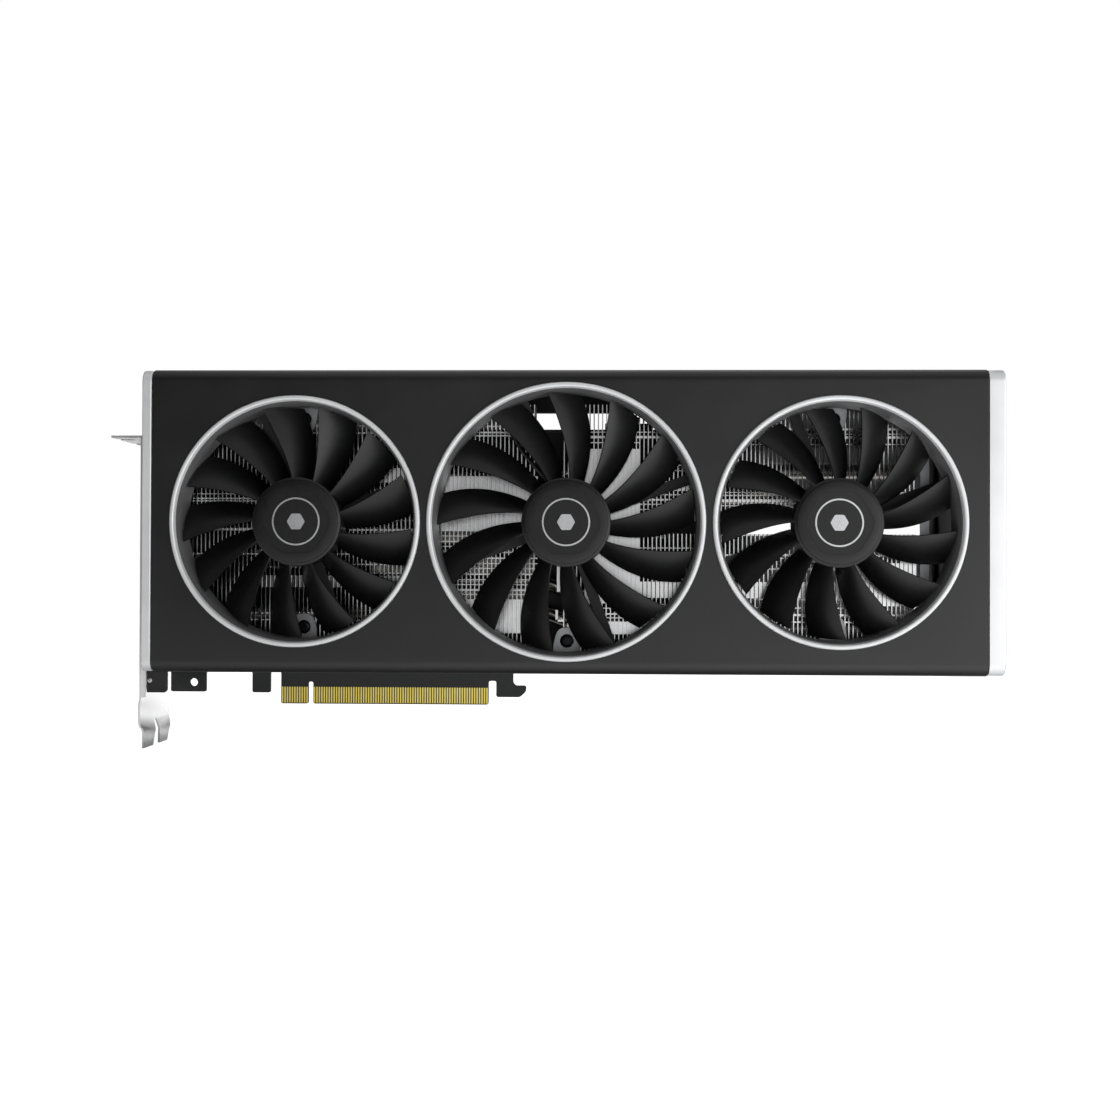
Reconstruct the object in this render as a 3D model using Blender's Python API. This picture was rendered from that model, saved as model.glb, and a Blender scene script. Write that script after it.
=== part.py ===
"""A triple-fan graphics card: board, cooler, fans, shroud, backplate and slot bracket.

X runs along the card with the bracket at -X, Z is up with the card edge connector at the bottom, and the
fans face -Y. The origin is the middle of the edge connector at its lower edge, in the mid-plane of the board.
All dimensions below are in millimetres; objects are made in metres.
"""
from math import cos, pi, radians, sin

import bmesh
import bpy
from mathutils import Matrix, Vector

MM = 0.001
GAP = 0.3

# Housing: the shroud's outer box, with its rounded long edges
BODY_LEFT = -84.9
BODY_RIGHT = 236.9
BODY_BOTTOM = 15.4
BODY_TOP = 129.3
FACE_Y = -48.5
SHROUD_BACK_Y = -17.0
SHROUD_WALL = 2.2
EDGE_RADIUS = 4.5
TRIM_LEFT_WIDTH = 4.0
TRIM_RIGHT_WIDTH = 6.3
TRIM_WALL = 3.0

# Fans: name, centre along X, outer radius of the bezel ring
FAN_Z = 72.2
FANS = (("left", -27.1, 47.1), ("middle", 74.4, 52.05), ("right", 176.0, 47.1))
RING_FRONT_Y = -49.8
RING_BACK_Y = -33.0
RING_LIP = 1.2
DUCT_INSET = 3.0
TIP_CLEARANCE = 0.6
HUB_RADIUS = 16.8
HUB_FRONT_Y = -46.0
HUB_BACK_Y = -34.2
HUB_WALL = 2.9
HUB_FLOOR = 1.8
BLADE_COUNT = 13
BLADE_FRONT_Y = -45.4
BLADE_DEPTH = 10.6
BLADE_THICKNESS = 1.1
# In degrees: where the first blade's leading edge leaves the hub, how far it sweeps to the tip, how wide a
# blade is at the hub, and how far its trailing edge sweeps to the tip
BLADE_ANGLES = {
    "left": (39.5, 12.0, 19.0, 13.0),
    "middle": (56.0, 14.3, 16.4, 16.0),
    "right": (94.4, 12.5, 18.5, 15.0),
}
SHAFT_RADIUS = 1.25
BEARING_CLEARANCE = 0.1
FRAME_FRONT_Y = -33.6
FRAME_BACK_Y = -31.5
STRUT_ANGLES = (20.0, 110.0, 200.0, 290.0)

# Cooler
FIN_FRONT_Y = -29.0
FIN_BACK_Y = -13.5
FIN_BASE = 0.6
FIN_PITCH = 3.26
FIN_THICKNESS = 0.4
FIN_BOTTOM = 18.4
FIN_TOP = 118.0
SLOT_BOTTOM = 68.4
SLOT_TOP = 73.2
FINS_LEFT_X = (-79.0, 62.5)
FINS_RIGHT_X = (73.0, 208.7)
PIPE_RADIUS = 3.0
PIPE_Y = -10.2
PIPE_X = (-74.0, 204.0)
PIPE_HEIGHTS = ((38.0, 34.0), (50.0, 46.0), (62.0, 58.0), (74.0, 82.0), (86.0, 94.0))
EAR_HALF = 5.2
EAR_INSET = 7.0
COLD_PLATE_SIZE = 62.0
COLD_PLATE_Y = (-6.9, -3.4)
FRAME_PLATE_Y = (-5.4, -4.0)

# Board
BOARD_HALF = 0.785
BOARD_LEFT = -87.2
BOARD_RIGHT = 128.0
BOARD_TOP = 111.15
BOARD_EDGE = 13.0
EDGE_HALF = 42.15
KEY_X = -30.0
KEY_HALF = 0.95
PART_Y = -BOARD_HALF - GAP
ROW_FOOT = 0.3
CHIP_HEIGHT = 1.1
GPU_X = 30.0
GPU_Z = 62.0
SOCKET_X = (98.0, 118.0)
HEADER_X = -40.0
HEADER_Z = 110.9
CABLE_RADIUS = 0.8
SWITCH_X = -62.0
SWITCH_TRAVEL = 2.0

# Backplate and bracket
BACKPLATE_Y = (3.0, 4.2)
BACKPLATE_TOP = 111.4
BACKPLATE_BOTTOM = 14.0
WINDOW_X = (146.0, 218.0)
WINDOW_Z = (30.0, 104.0)
RETENTION_SCREW = 26.0
BRACKET_X = (-89.2, -88.34)
BRACKET_Y = (-35.9, 2.84)
BRACKET_TOP = 105.4
BRACKET_THICKNESS = 0.86
FLANGE_REACH = 11.43
TAIL_TOP = -4.9
TAIL_TIP = -14.62
PORT_HEIGHTS = (30.0, 52.0, 74.0, 96.0)
PORT_DEPTH = 15.0


# ---------------------------------------------------------------- helpers

def material(name, colour, roughness, metallic=0.0):
    found = bpy.data.materials.get(name)
    if found:
        return found
    made = bpy.data.materials.new(name)
    made.use_nodes = True
    shader = made.node_tree.nodes["Principled BSDF"]
    shader.inputs["Base Color"].default_value = (*colour, 1.0)
    shader.inputs["Roughness"].default_value = roughness
    shader.inputs["Metallic"].default_value = metallic
    return made


def add_box(bm, low, high):
    size = [high[i] - low[i] for i in range(3)]
    middle = Vector([(high[i] + low[i]) / 2 for i in range(3)])
    bmesh.ops.create_cube(bm, size=1.0, matrix=Matrix.Translation(middle) @ Matrix.Diagonal((*size, 1.0)))


def add_prism(bm, outline, low, high, axis="Y"):
    """Extrude a closed outline along an axis; the outline's pair is the other two axes in X, Y, Z order."""
    place = {
        "X": lambda a, b, t: (t, a, b),
        "Y": lambda a, b, t: (a, t, b),
        "Z": lambda a, b, t: (a, b, t),
    }[axis]
    near = [bm.verts.new(place(a, b, low)) for a, b in outline]
    far = [bm.verts.new(place(a, b, high)) for a, b in outline]
    bm.faces.new(near)
    bm.faces.new(far)
    for i, vert in enumerate(near):
        j = (i + 1) % len(near)
        bm.faces.new((vert, near[j], far[j], far[i]))


def add_turned(bm, profile, segments, centre=(0.0, 0.0)):
    """Turn a closed (radius, y) profile about the Y axis through centre = (x, z)."""
    loops = []
    for step in range(segments):
        angle = 2 * pi * step / segments
        loops.append([bm.verts.new((centre[0] + r * cos(angle), y, centre[1] + r * sin(angle)))
                      for r, y in profile])
    for step in range(segments):
        here, there = loops[step], loops[(step + 1) % segments]
        for i in range(len(profile)):
            j = (i + 1) % len(profile)
            bm.faces.new((here[i], here[j], there[j], there[i]))


def add_cylinder(bm, radius, low, high, centre, axis="Y", segments=12):
    """Solid round bar along an axis, with centre given in the other two axes."""
    turns = [2 * pi * i / segments for i in range(segments)]
    outline = [(centre[0] + radius * cos(turn), centre[1] + radius * sin(turn)) for turn in turns]
    add_prism(bm, outline, low, high, axis)


def rounded_outline(low, high, radius, steps=4):
    """Rectangle with round corners, anticlockwise."""
    corners = ((high[0] - radius, high[1] - radius, 0), (low[0] + radius, high[1] - radius, 90),
               (low[0] + radius, low[1] + radius, 180), (high[0] - radius, low[1] + radius, 270))
    points = []
    for a, b, start in corners:
        for i in range(steps + 1):
            angle = radians(start + 90 * i / steps)
            points.append((a + radius * cos(angle), b + radius * sin(angle)))
    return points


def finish(name, bm, look, origin=(0.0, 0.0, 0.0), smooth=None):
    """Make an object in metres from a bmesh in millimetres, with its origin where it is asked for."""
    bmesh.ops.translate(bm, verts=bm.verts, vec=-Vector(origin))
    bmesh.ops.scale(bm, verts=bm.verts, vec=(MM, MM, MM))
    bmesh.ops.recalc_face_normals(bm, faces=bm.faces)
    mesh = bpy.data.meshes.new(name)
    bm.to_mesh(mesh)
    bm.free()
    if smooth is not None:
        mesh.shade_smooth()
        mesh.set_sharp_from_angle(angle=radians(smooth))
    made = bpy.data.objects.new(name, mesh)
    made.location = Vector(origin) * MM
    if look is not None:
        mesh.materials.append(look)
    bpy.context.scene.collection.objects.link(made)
    return made


def combine(target, bm, operation, origin=(0.0, 0.0, 0.0)):
    """Cut a tool shape from an object, or weld it on."""
    tool = finish(target.name + "_" + operation.lower(), bm, None, origin)
    tool.hide_render = True
    tool.display_type = "WIRE"
    step = target.modifiers.new(operation.title(), "BOOLEAN")
    step.operation = operation
    step.solver = "EXACT"
    step.object = tool


def move_to_parent(parent, children):
    """Hang children on a parent without moving them."""
    for child in children:
        child.location -= parent.location
        child.parent = parent


BLACK_PLASTIC = material("black_plastic", (0.018, 0.018, 0.019), 0.55)
GLOSS_PLASTIC = material("black_gloss_plastic", (0.012, 0.012, 0.013), 0.35)
SILVER_PLASTIC = material("silver_paint", (0.62, 0.62, 0.63), 0.3, 0.8)
ALUMINIUM = material("aluminium", (0.72, 0.73, 0.74), 0.35, 1.0)
NICKEL = material("nickel", (0.66, 0.64, 0.6), 0.2, 1.0)
STEEL = material("steel", (0.55, 0.56, 0.57), 0.3, 1.0)
COPPER = material("copper", (0.72, 0.32, 0.2), 0.3, 1.0)
BOARD_MASK = material("black_solder_mask", (0.012, 0.013, 0.013), 0.4)
CHIP_BLACK = material("chip_epoxy", (0.02, 0.02, 0.022), 0.5)
SILICON = material("silicon", (0.2, 0.22, 0.26), 0.12, 0.6)
PAD_GREY = material("thermal_pad", (0.45, 0.47, 0.5), 0.9)
BLACK_METAL = material("black_painted_metal", (0.016, 0.016, 0.017), 0.45, 0.3)
CABLE_BLACK = material("cable_pvc", (0.01, 0.01, 0.01), 0.5)


# ---------------------------------------------------------------- housing

def shell_outline(wall, back):
    """Channel section in (y, z): a front wall with round corners and two side walls running back."""
    outer, inner = [], []
    for z_edge, sign in ((BODY_TOP, 1), (BODY_BOTTOM, -1)):
        arc_out, arc_in = [], []
        for i in range(5):
            angle = radians(90 * i / 4)
            middle_y = FACE_Y + EDGE_RADIUS
            middle_z = z_edge - sign * EDGE_RADIUS
            small = EDGE_RADIUS - wall
            arc_out.append((middle_y - EDGE_RADIUS * sin(angle), middle_z + sign * EDGE_RADIUS * cos(angle)))
            arc_in.append((middle_y - small * sin(angle), middle_z + sign * small * cos(angle)))
        if sign < 0:
            arc_out.reverse()
            arc_in.reverse()
        outer += arc_out
        inner += arc_in
    outer = [(back, BODY_TOP)] + outer + [(back, BODY_BOTTOM)]
    inner = [(back, BODY_TOP - wall)] + inner + [(back, BODY_BOTTOM + wall)]
    return outer + inner[::-1]


def make_shroud():
    bm = bmesh.new()
    left = BODY_LEFT + TRIM_LEFT_WIDTH + GAP
    right = BODY_RIGHT - TRIM_RIGHT_WIDTH - GAP
    add_prism(bm, shell_outline(SHROUD_WALL, SHROUD_BACK_Y), left, right, "X")
    shroud = finish("shroud", bm, BLACK_PLASTIC, smooth=30)
    holes = bmesh.new()
    for _, x, radius in FANS:
        add_cylinder(holes, radius - RING_LIP + GAP, FACE_Y - 5, FACE_Y + 10, (x, FAN_Z), segments=40)
    combine(shroud, holes, "DIFFERENCE")


def make_trims():
    """Silver end frames; the right one closes the end, the left one is open for the outgoing air."""
    bm = bmesh.new()
    add_prism(bm, shell_outline(TRIM_WALL, SHROUD_BACK_Y), BODY_LEFT, BODY_LEFT + TRIM_LEFT_WIDTH, "X")
    finish("trim_left", bm, SILVER_PLASTIC, smooth=30)
    bm = bmesh.new()
    outline = shell_outline(TRIM_WALL, SHROUD_BACK_Y)[:12]
    add_prism(bm, outline, BODY_RIGHT - TRIM_RIGHT_WIDTH, BODY_RIGHT, "X")
    trim = finish("trim_right", bm, SILVER_PLASTIC, smooth=30)
    pocket = bmesh.new()
    inner = BODY_RIGHT - TRIM_WALL
    add_box(pocket, (inner - 10, FACE_Y + TRIM_WALL, BODY_BOTTOM + TRIM_WALL),
            (inner, SHROUD_BACK_Y + 5, BODY_TOP - TRIM_WALL))
    combine(trim, pocket, "DIFFERENCE")


def make_top_bar():
    """Angle strip that closes the top rear edge, cut away for the power plugs."""
    thick = 2.4
    front, back = SHROUD_BACK_Y + GAP, BACKPLATE_Y[1]
    bm = bmesh.new()
    outline = [(front, BODY_TOP), (front, BODY_TOP - thick), (back - thick, BODY_TOP - thick),
               (back - thick, FIN_TOP), (back, FIN_TOP), (back, BODY_TOP)]
    add_prism(bm, outline, BODY_LEFT, BODY_RIGHT, "X")
    bar = finish("top_bar", bm, BLACK_METAL)
    recess = bmesh.new()
    add_box(recess, (SOCKET_X[0] - 12, front - 5, FIN_TOP + 2), (SOCKET_X[1] + 12, 1.5, BODY_TOP + 5))
    combine(bar, recess, "DIFFERENCE")


def make_ring(side, x, radius):
    """Bezel ring: a lip in front of the shroud's face and a tapered duct behind it."""
    neck = radius - RING_LIP
    duct = radius - DUCT_INSET
    profile = [(radius - 0.5, RING_FRONT_Y), (radius, RING_FRONT_Y + 0.4), (radius, FACE_Y - GAP),
               (neck, FACE_Y - GAP), (neck, RING_BACK_Y), (duct, RING_BACK_Y),
               (duct, RING_FRONT_Y + 4.0), (radius - 1.9, RING_FRONT_Y)]
    bm = bmesh.new()
    add_turned(bm, profile, 40, (x, FAN_Z))
    finish("ring_" + side, bm, SILVER_PLASTIC, smooth=35)


# ---------------------------------------------------------------- fans

def blade_point(span, chord, tip, angles):
    """Point on a blade's front face: span runs root to tip, chord from leading to trailing edge."""
    first_angle, lead_sweep, root_width, trail_sweep = angles
    root = HUB_RADIUS - 0.9
    r = root + (tip - root) * span
    lead = first_angle + lead_sweep * span
    trail = first_angle - root_width + trail_sweep * (0.6 * span + 0.4 * span * span)
    angle = radians(lead + (trail - lead) * chord)
    y = BLADE_FRONT_Y + BLADE_DEPTH * (0.6 * chord + 0.4 * chord * chord)
    return Vector((r * cos(angle), y, r * sin(angle)))


def add_blade(bm, tip, angles, spans=3, chords=2):
    front, back = [], []
    for i in range(spans + 1):
        front.append([bm.verts.new(blade_point(i / spans, j / chords, tip, angles))
                      for j in range(chords + 1)])
        back.append([bm.verts.new(v.co + Vector((0, BLADE_THICKNESS, 0))) for v in front[-1]])
    for i in range(spans):
        for j in range(chords):
            bm.faces.new((front[i][j], front[i][j + 1], front[i + 1][j + 1], front[i + 1][j]))
            bm.faces.new((back[i][j], back[i + 1][j], back[i + 1][j + 1], back[i][j + 1]))
        for j in (0, chords):
            bm.faces.new((front[i][j], front[i + 1][j], back[i + 1][j], back[i][j]))
    for i in (0, spans):
        for j in range(chords):
            bm.faces.new((front[i][j], front[i][j + 1], back[i][j + 1], back[i][j]))


def add_cup(bm, radius, wall, front, floor, back, segments):
    """Cup open towards +Y: a closed front disc and a round side wall."""
    rim = []
    for r, y in ((radius - 0.8, front), (radius, front + 0.8), (radius, back), (radius - wall, back),
                 (radius - wall, front + floor)):
        rim.append([bm.verts.new((r * cos(2 * pi * i / segments), y, r * sin(2 * pi * i / segments)))
                    for i in range(segments)])
    for here, there in zip(rim, rim[1:]):
        for i in range(segments):
            j = (i + 1) % segments
            bm.faces.new((here[i], here[j], there[j], there[i]))
    bm.faces.new(rim[0])
    bm.faces.new(rim[-1])


def make_rotor(side, x, radius):
    """Hub cup, with its ring magnet as part of the wall, its blades and its shaft; they turn as one."""
    origin = (x, HUB_FRONT_Y, FAN_Z)
    shift = Matrix.Translation((x, 0, FAN_Z))
    bm = bmesh.new()
    add_cup(bm, HUB_RADIUS, HUB_WALL, HUB_FRONT_Y, HUB_FLOOR, HUB_BACK_Y, 26)
    bm.transform(shift)
    rotor = finish("rotor_" + side, bm, GLOSS_PLASTIC, origin, smooth=30)
    blades = bmesh.new()
    first_angle, *sweeps = BLADE_ANGLES[side]
    for i in range(BLADE_COUNT):
        turned = first_angle + 360.0 * i / BLADE_COUNT
        add_blade(blades, radius - DUCT_INSET - TIP_CLEARANCE, (turned, *sweeps))
    blades.transform(shift)
    combine(rotor, blades, "UNION", origin)
    shaft = bmesh.new()
    add_cylinder(shaft, SHAFT_RADIUS, HUB_FRONT_Y + HUB_FLOOR + GAP, FRAME_BACK_Y - 0.5, (x, FAN_Z),
                 segments=16)
    move_to_parent(rotor, [finish("shaft_" + side, shaft, STEEL, origin, smooth=30)])


def make_stator(side, x):
    """Nine-pole core with its windings, fixed round the bearing tube."""
    poles = 9
    outline = []
    for i in range(poles):
        for r, turn in ((7.5, -0.32), (12.4, -0.24), (12.4, 0.24), (7.5, 0.32)):
            angle = 2 * pi * (i + turn) / poles
            outline.append((x + r * cos(angle), FAN_Z + r * sin(angle)))
    bm = bmesh.new()
    add_prism(bm, outline, -43.0, -37.0)
    stator = finish("stator_" + side, bm, COPPER)
    bore = bmesh.new()
    add_cylinder(bore, 3.3, -45, -35, (x, FAN_Z), segments=18)
    combine(stator, bore, "DIFFERENCE")


def make_fan_frame(side, x, radius):
    """Motor base with its bearing tube, held on the back of the duct by four struts."""
    bm = bmesh.new()
    bore = SHAFT_RADIUS + BEARING_CLEARANCE
    profile = [(bore, -42.8), (3.0, -42.8), (3.0, FRAME_FRONT_Y), (15.6, FRAME_FRONT_Y),
               (15.6, FRAME_BACK_Y), (bore, FRAME_BACK_Y)]
    add_turned(bm, profile, 24, (x, FAN_Z))
    frame = finish("fan_frame_" + side, bm, BLACK_PLASTIC, smooth=30)
    struts = bmesh.new()
    for angle in STRUT_ANGLES:
        piece = bmesh.new()
        add_box(piece, (15.0, RING_BACK_Y + GAP, -2.0), (radius - RING_LIP, FRAME_BACK_Y - 0.2, 2.0))
        piece.transform(Matrix.Translation((x, 0, FAN_Z)) @ Matrix.Rotation(radians(-angle), 4, "Y"))
        scratch = bpy.data.meshes.new("strut")
        piece.to_mesh(scratch)
        piece.free()
        struts.from_mesh(scratch)
        bpy.data.meshes.remove(scratch)
    combine(frame, struts, "UNION")


# ---------------------------------------------------------------- cooler

def fin_outline(low_x, high_x):
    """Comb in (x, y): a thin folded foot at the back with upright fins standing on it."""
    count = int((high_x - low_x) / FIN_PITCH)
    root = FIN_BACK_Y - FIN_BASE
    end = low_x + count * FIN_PITCH + FIN_THICKNESS
    points = [(end, FIN_BACK_Y), (low_x, FIN_BACK_Y)]
    for i in range(count + 1):
        x = low_x + i * FIN_PITCH
        if i:
            points.append((x, root))
        points.append((x, FIN_FRONT_Y))
        points.append((x + FIN_THICKNESS, FIN_FRONT_Y))
        if i < count:
            points.append((x + FIN_THICKNESS, root))
    return points


def add_ears(stack, low_x, high_x, bottom, top):
    """Weld a pierced sheet ear on the fins above or below each fan centre, for the shroud's screws."""
    ears, holes = bmesh.new(), bmesh.new()
    for _, x, radius in FANS:
        for z in (FAN_Z - radius + EAR_INSET, FAN_Z + radius - EAR_INSET):
            if low_x - EAR_HALF < x < high_x and bottom < z - EAR_HALF and z + EAR_HALF < top:
                outline = rounded_outline((x - EAR_HALF, z - EAR_HALF), (x + EAR_HALF, z + EAR_HALF), 2.0, 2)
                add_prism(ears, outline, FIN_FRONT_Y - 1.4, FIN_FRONT_Y + 0.4)
                add_cylinder(holes, 2.4, FIN_FRONT_Y - 5, FIN_FRONT_Y + 6, (x, z))
    combine(stack, ears, "UNION")
    combine(stack, holes, "DIFFERENCE")


def make_fins():
    stacks = (("fins_left", FINS_LEFT_X, FIN_BOTTOM, FIN_TOP),
              ("fins_right_lower", FINS_RIGHT_X, FIN_BOTTOM, SLOT_BOTTOM),
              ("fins_right_upper", FINS_RIGHT_X, SLOT_TOP, FIN_TOP))
    for name, (low_x, high_x), bottom, top in stacks:
        bm = bmesh.new()
        add_prism(bm, fin_outline(low_x, high_x), bottom, top, "Z")
        add_ears(finish(name, bm, ALUMINIUM), low_x, high_x, bottom, top)


def smooth_route(points, steps):
    """Catmull-Rom curve through the points, so that bends are gentle."""
    ends = [2 * Vector(points[0]) - Vector(points[1])] + [Vector(p) for p in points]
    ends.append(2 * ends[-1] - ends[-2])
    route = []
    for a, b, c, d in zip(ends, ends[1:], ends[2:], ends[3:]):
        for i in range(steps):
            t = i / steps
            route.append(0.5 * ((2 * b) + (c - a) * t + (2 * a - 5 * b + 4 * c - d) * t * t
                                + (3 * b - a - 3 * c + d) * t ** 3))
    return route + [ends[-2]]


def make_tube(name, route, radius, look):
    """Round bar along a route, as a curve with a bevel and closed ends."""
    curve = bpy.data.curves.new(name, "CURVE")
    curve.dimensions = "3D"
    curve.bevel_depth = radius * MM
    curve.bevel_resolution = 2
    curve.use_fill_caps = True
    line = curve.splines.new("POLY")
    line.points.add(len(route) - 1)
    for point, co in zip(line.points, route):
        point.co = (*(Vector(co) * MM), 1.0)
    curve.materials.append(look)
    made = bpy.data.objects.new(name, curve)
    bpy.context.scene.collection.objects.link(made)


def make_heat_pipes():
    """Five pipes from the cold plate into both stacks, stepped apart between the stacks."""
    bend_start, bend_end = FINS_LEFT_X[1] - 1, FINS_RIGHT_X[0] + 5
    for number, (left_z, right_z) in enumerate(PIPE_HEIGHTS, 1):
        points = [(PIPE_X[0], PIPE_Y, left_z), (0, PIPE_Y, left_z)]
        for i in range(5):
            t = i / 4
            ease = t * t * (3 - 2 * t)
            x = bend_start + (bend_end - bend_start) * t
            points.append((x, PIPE_Y, left_z + (right_z - left_z) * ease))
        points.append((PIPE_X[1], PIPE_Y, right_z))
        make_tube("heatpipe_%d" % number, points, PIPE_RADIUS, NICKEL)


def make_cold_plate():
    half = COLD_PLATE_SIZE / 2
    bm = bmesh.new()
    add_box(bm, (GPU_X - half, COLD_PLATE_Y[0], GPU_Z - half), (GPU_X + half, COLD_PLATE_Y[1], GPU_Z + half))
    finish("cold_plate", bm, NICKEL)


def make_cooler_frame():
    """Cast plate round the cold plate that cools the memory."""
    bm = bmesh.new()
    outline = rounded_outline((-20.0, 20.0), (84.0, BOARD_TOP - 1.5), 4.0, 2)
    add_prism(bm, outline, FRAME_PLATE_Y[0], FRAME_PLATE_Y[1])
    frame = finish("cooler_frame", bm, BLACK_METAL)
    window = bmesh.new()
    half = COLD_PLATE_SIZE / 2 + 1
    add_box(window, (GPU_X - half, -8, GPU_Z - half), (GPU_X + half, 0, GPU_Z + half))
    combine(frame, window, "DIFFERENCE")


# ---------------------------------------------------------------- board

def board_outline():
    """Board seen from the fans, in (x, z): bracket tabs, edge connector with its key, and lock hook."""
    slot_top = 9.6
    return [(BOARD_LEFT, BOARD_TOP), (BOARD_LEFT, 5.9), (BOARD_LEFT + 1, 4.9), (-73.4, 4.9), (-72.4, 5.9),
            (-72.4, BOARD_EDGE), (-53.5, BOARD_EDGE), (-53.5, 5.5), (-52.7, 4.7), (-46.9, 4.7), (-46.1, 5.5),
            (-46.1, 13.0), (-EDGE_HALF, 13.0), (-EDGE_HALF, 0.6), (-EDGE_HALF + 0.6, 0.0),
            (KEY_X - KEY_HALF, 0.0), (KEY_X - KEY_HALF, 8.7), (KEY_X, 9.2), (KEY_X + KEY_HALF, 8.7),
            (KEY_X + KEY_HALF, 0.0), (EDGE_HALF - 0.6, 0.0), (EDGE_HALF, 0.6), (EDGE_HALF, slot_top - 1),
            (43.1, slot_top + 0.3), (44.3, slot_top + 0.3), (45.2, slot_top - 1), (45.2, 3.4), (45.7, 3.1),
            (54.8, 3.1), (57.3, 5.4), (57.3, 7.4), (53.6, 7.9), (52.4, 9.2), (52.1, BOARD_EDGE - 1),
            (53.1, BOARD_EDGE), (BOARD_RIGHT, BOARD_EDGE), (BOARD_RIGHT, BOARD_TOP)]


def backplate_screw_places():
    return ((-80.0, 104.0), (-10.0, 104.0), (70.0, 20.0), (-60.0, 20.0), (120.0, 20.0), (120.0, 104.0))


def retention_places():
    return [(GPU_X + a * RETENTION_SCREW, GPU_Z + b * RETENTION_SCREW) for a in (-1, 1) for b in (-1, 1)]


def make_board():
    bm = bmesh.new()
    add_prism(bm, board_outline(), -BOARD_HALF, BOARD_HALF)
    board = finish("pcb", bm, BOARD_MASK)
    holes = bmesh.new()
    for place in list(backplate_screw_places()) + retention_places() + [(-77.8, 8.4)]:
        add_cylinder(holes, 1.7, -5, 5, place, segments=10)
    combine(board, holes, "DIFFERENCE")


def make_gpu():
    half = 20.0
    bm = bmesh.new()
    add_box(bm, (GPU_X - half, PART_Y - 1.0, GPU_Z - half), (GPU_X + half, PART_Y, GPU_Z + half))
    finish("gpu_package", bm, BOARD_MASK)
    bm = bmesh.new()
    back = PART_Y - 1.0 - GAP
    add_box(bm, (GPU_X - 12, COLD_PLATE_Y[1] + GAP, GPU_Z - 10), (GPU_X + 12, back, GPU_Z + 10))
    finish("gpu_die", bm, SILICON)


def make_row(name, places, half, height, look):
    """A row of like parts on the board, joined by the thin strip of solder mask they stand on."""
    bm = bmesh.new()
    xs, zs = [p[0] for p in places], [p[1] for p in places]
    foot = ROW_FOOT
    add_box(bm, (min(xs) - half[0] + foot, PART_Y - foot, min(zs) - half[1] + foot),
            (max(xs) + half[0] - foot, PART_Y, max(zs) + half[1] - foot))
    row = finish(name, bm, look)
    parts = bmesh.new()
    for x, z in places:
        add_box(parts, (x - half[0], PART_Y - height, z - half[1]),
                (x + half[0], PART_Y - foot / 2, z + half[1]))
    combine(row, parts, "UNION")


def make_memory():
    """Eight memory chips in three rows round the processor, under one bent strip of thermal pad."""
    left, right, top = -10.0, 72.0, 102.0
    for name, x in (("memory_left", left), ("memory_right", right)):
        make_row(name, [(x, GPU_Z + 17.0 * step) for step in (-1, 0, 1)], (6.0, 6.5), CHIP_HEIGHT, CHIP_BLACK)
    make_row("memory_top", [(GPU_X - 12, top), (GPU_X + 12, top)], (6.5, 6.0), CHIP_HEIGHT, CHIP_BLACK)
    outline = [(left - 5.5, GPU_Z - 23), (left + 5.5, GPU_Z - 23), (left + 5.5, top - 5.5),
               (right - 5.5, top - 5.5), (right - 5.5, GPU_Z - 23), (right + 5.5, GPU_Z - 23),
               (right + 5.5, top + 5.5), (left - 5.5, top + 5.5)]
    bm = bmesh.new()
    add_prism(bm, outline, FRAME_PLATE_Y[1] + GAP, PART_Y - CHIP_HEIGHT - GAP)
    finish("thermal_pad", bm, PAD_GREY)


def make_power_parts():
    places = [(98.0, 28.0 + 10.5 * i) for i in range(6)]
    make_row("inductors", places, (4.0, 4.0), 4.6, CHIP_BLACK)
    make_row("capacitors", [(110.0, z) for _, z in places], (2.9, 2.9), 5.6, ALUMINIUM)


def make_power_sockets():
    """Two eight-way power headers with their mouths upward, two rows of four square cells each."""
    pitch, cell, depth = 4.2, 3.7, 9.0
    top = BOARD_TOP + 1.5
    for side, x in zip(("left", "right"), SOCKET_X):
        bm = bmesh.new()
        add_box(bm, (x - 9.2, PART_Y - 9.6, top - 14.0), (x + 9.2, PART_Y, top))
        socket = finish("power_socket_" + side, bm, GLOSS_PLASTIC)
        cells = bmesh.new()
        for i in range(4):
            for row in (0, 1):
                middle = (x + pitch * (i - 1.5), PART_Y - 4.8 + pitch * (row - 0.5))
                add_box(cells, (middle[0] - cell / 2, middle[1] - cell / 2, top - depth),
                        (middle[0] + cell / 2, middle[1] + cell / 2, top + 5))
        combine(socket, cells, "DIFFERENCE")


def make_switch():
    """Two-position slide switch on the top edge; the slider moves along X in its pocket."""
    top = BOARD_TOP + 0.6
    bm = bmesh.new()
    add_box(bm, (SWITCH_X - 4.4, PART_Y - 3.6, top - 4.0), (SWITCH_X + 4.4, PART_Y, top))
    body = finish("switch_body", bm, STEEL)
    pocket = bmesh.new()
    width = 1.6
    left = SWITCH_X - SWITCH_TRAVEL / 2 - width / 2
    add_box(pocket, (left - GAP, PART_Y - 2.8, top - 1.6),
            (left + width + SWITCH_TRAVEL + GAP, PART_Y - 0.8, top + 5))
    combine(body, pocket, "DIFFERENCE")
    knob = bmesh.new()
    origin = (left + width / 2, PART_Y - 1.8, top - 1.3)
    add_box(knob, (left, PART_Y - 2.5, top - 1.3), (left + width, PART_Y - 1.1, top + 1.8))
    finish("switch_slider", knob, GLOSS_PLASTIC, origin)


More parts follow.
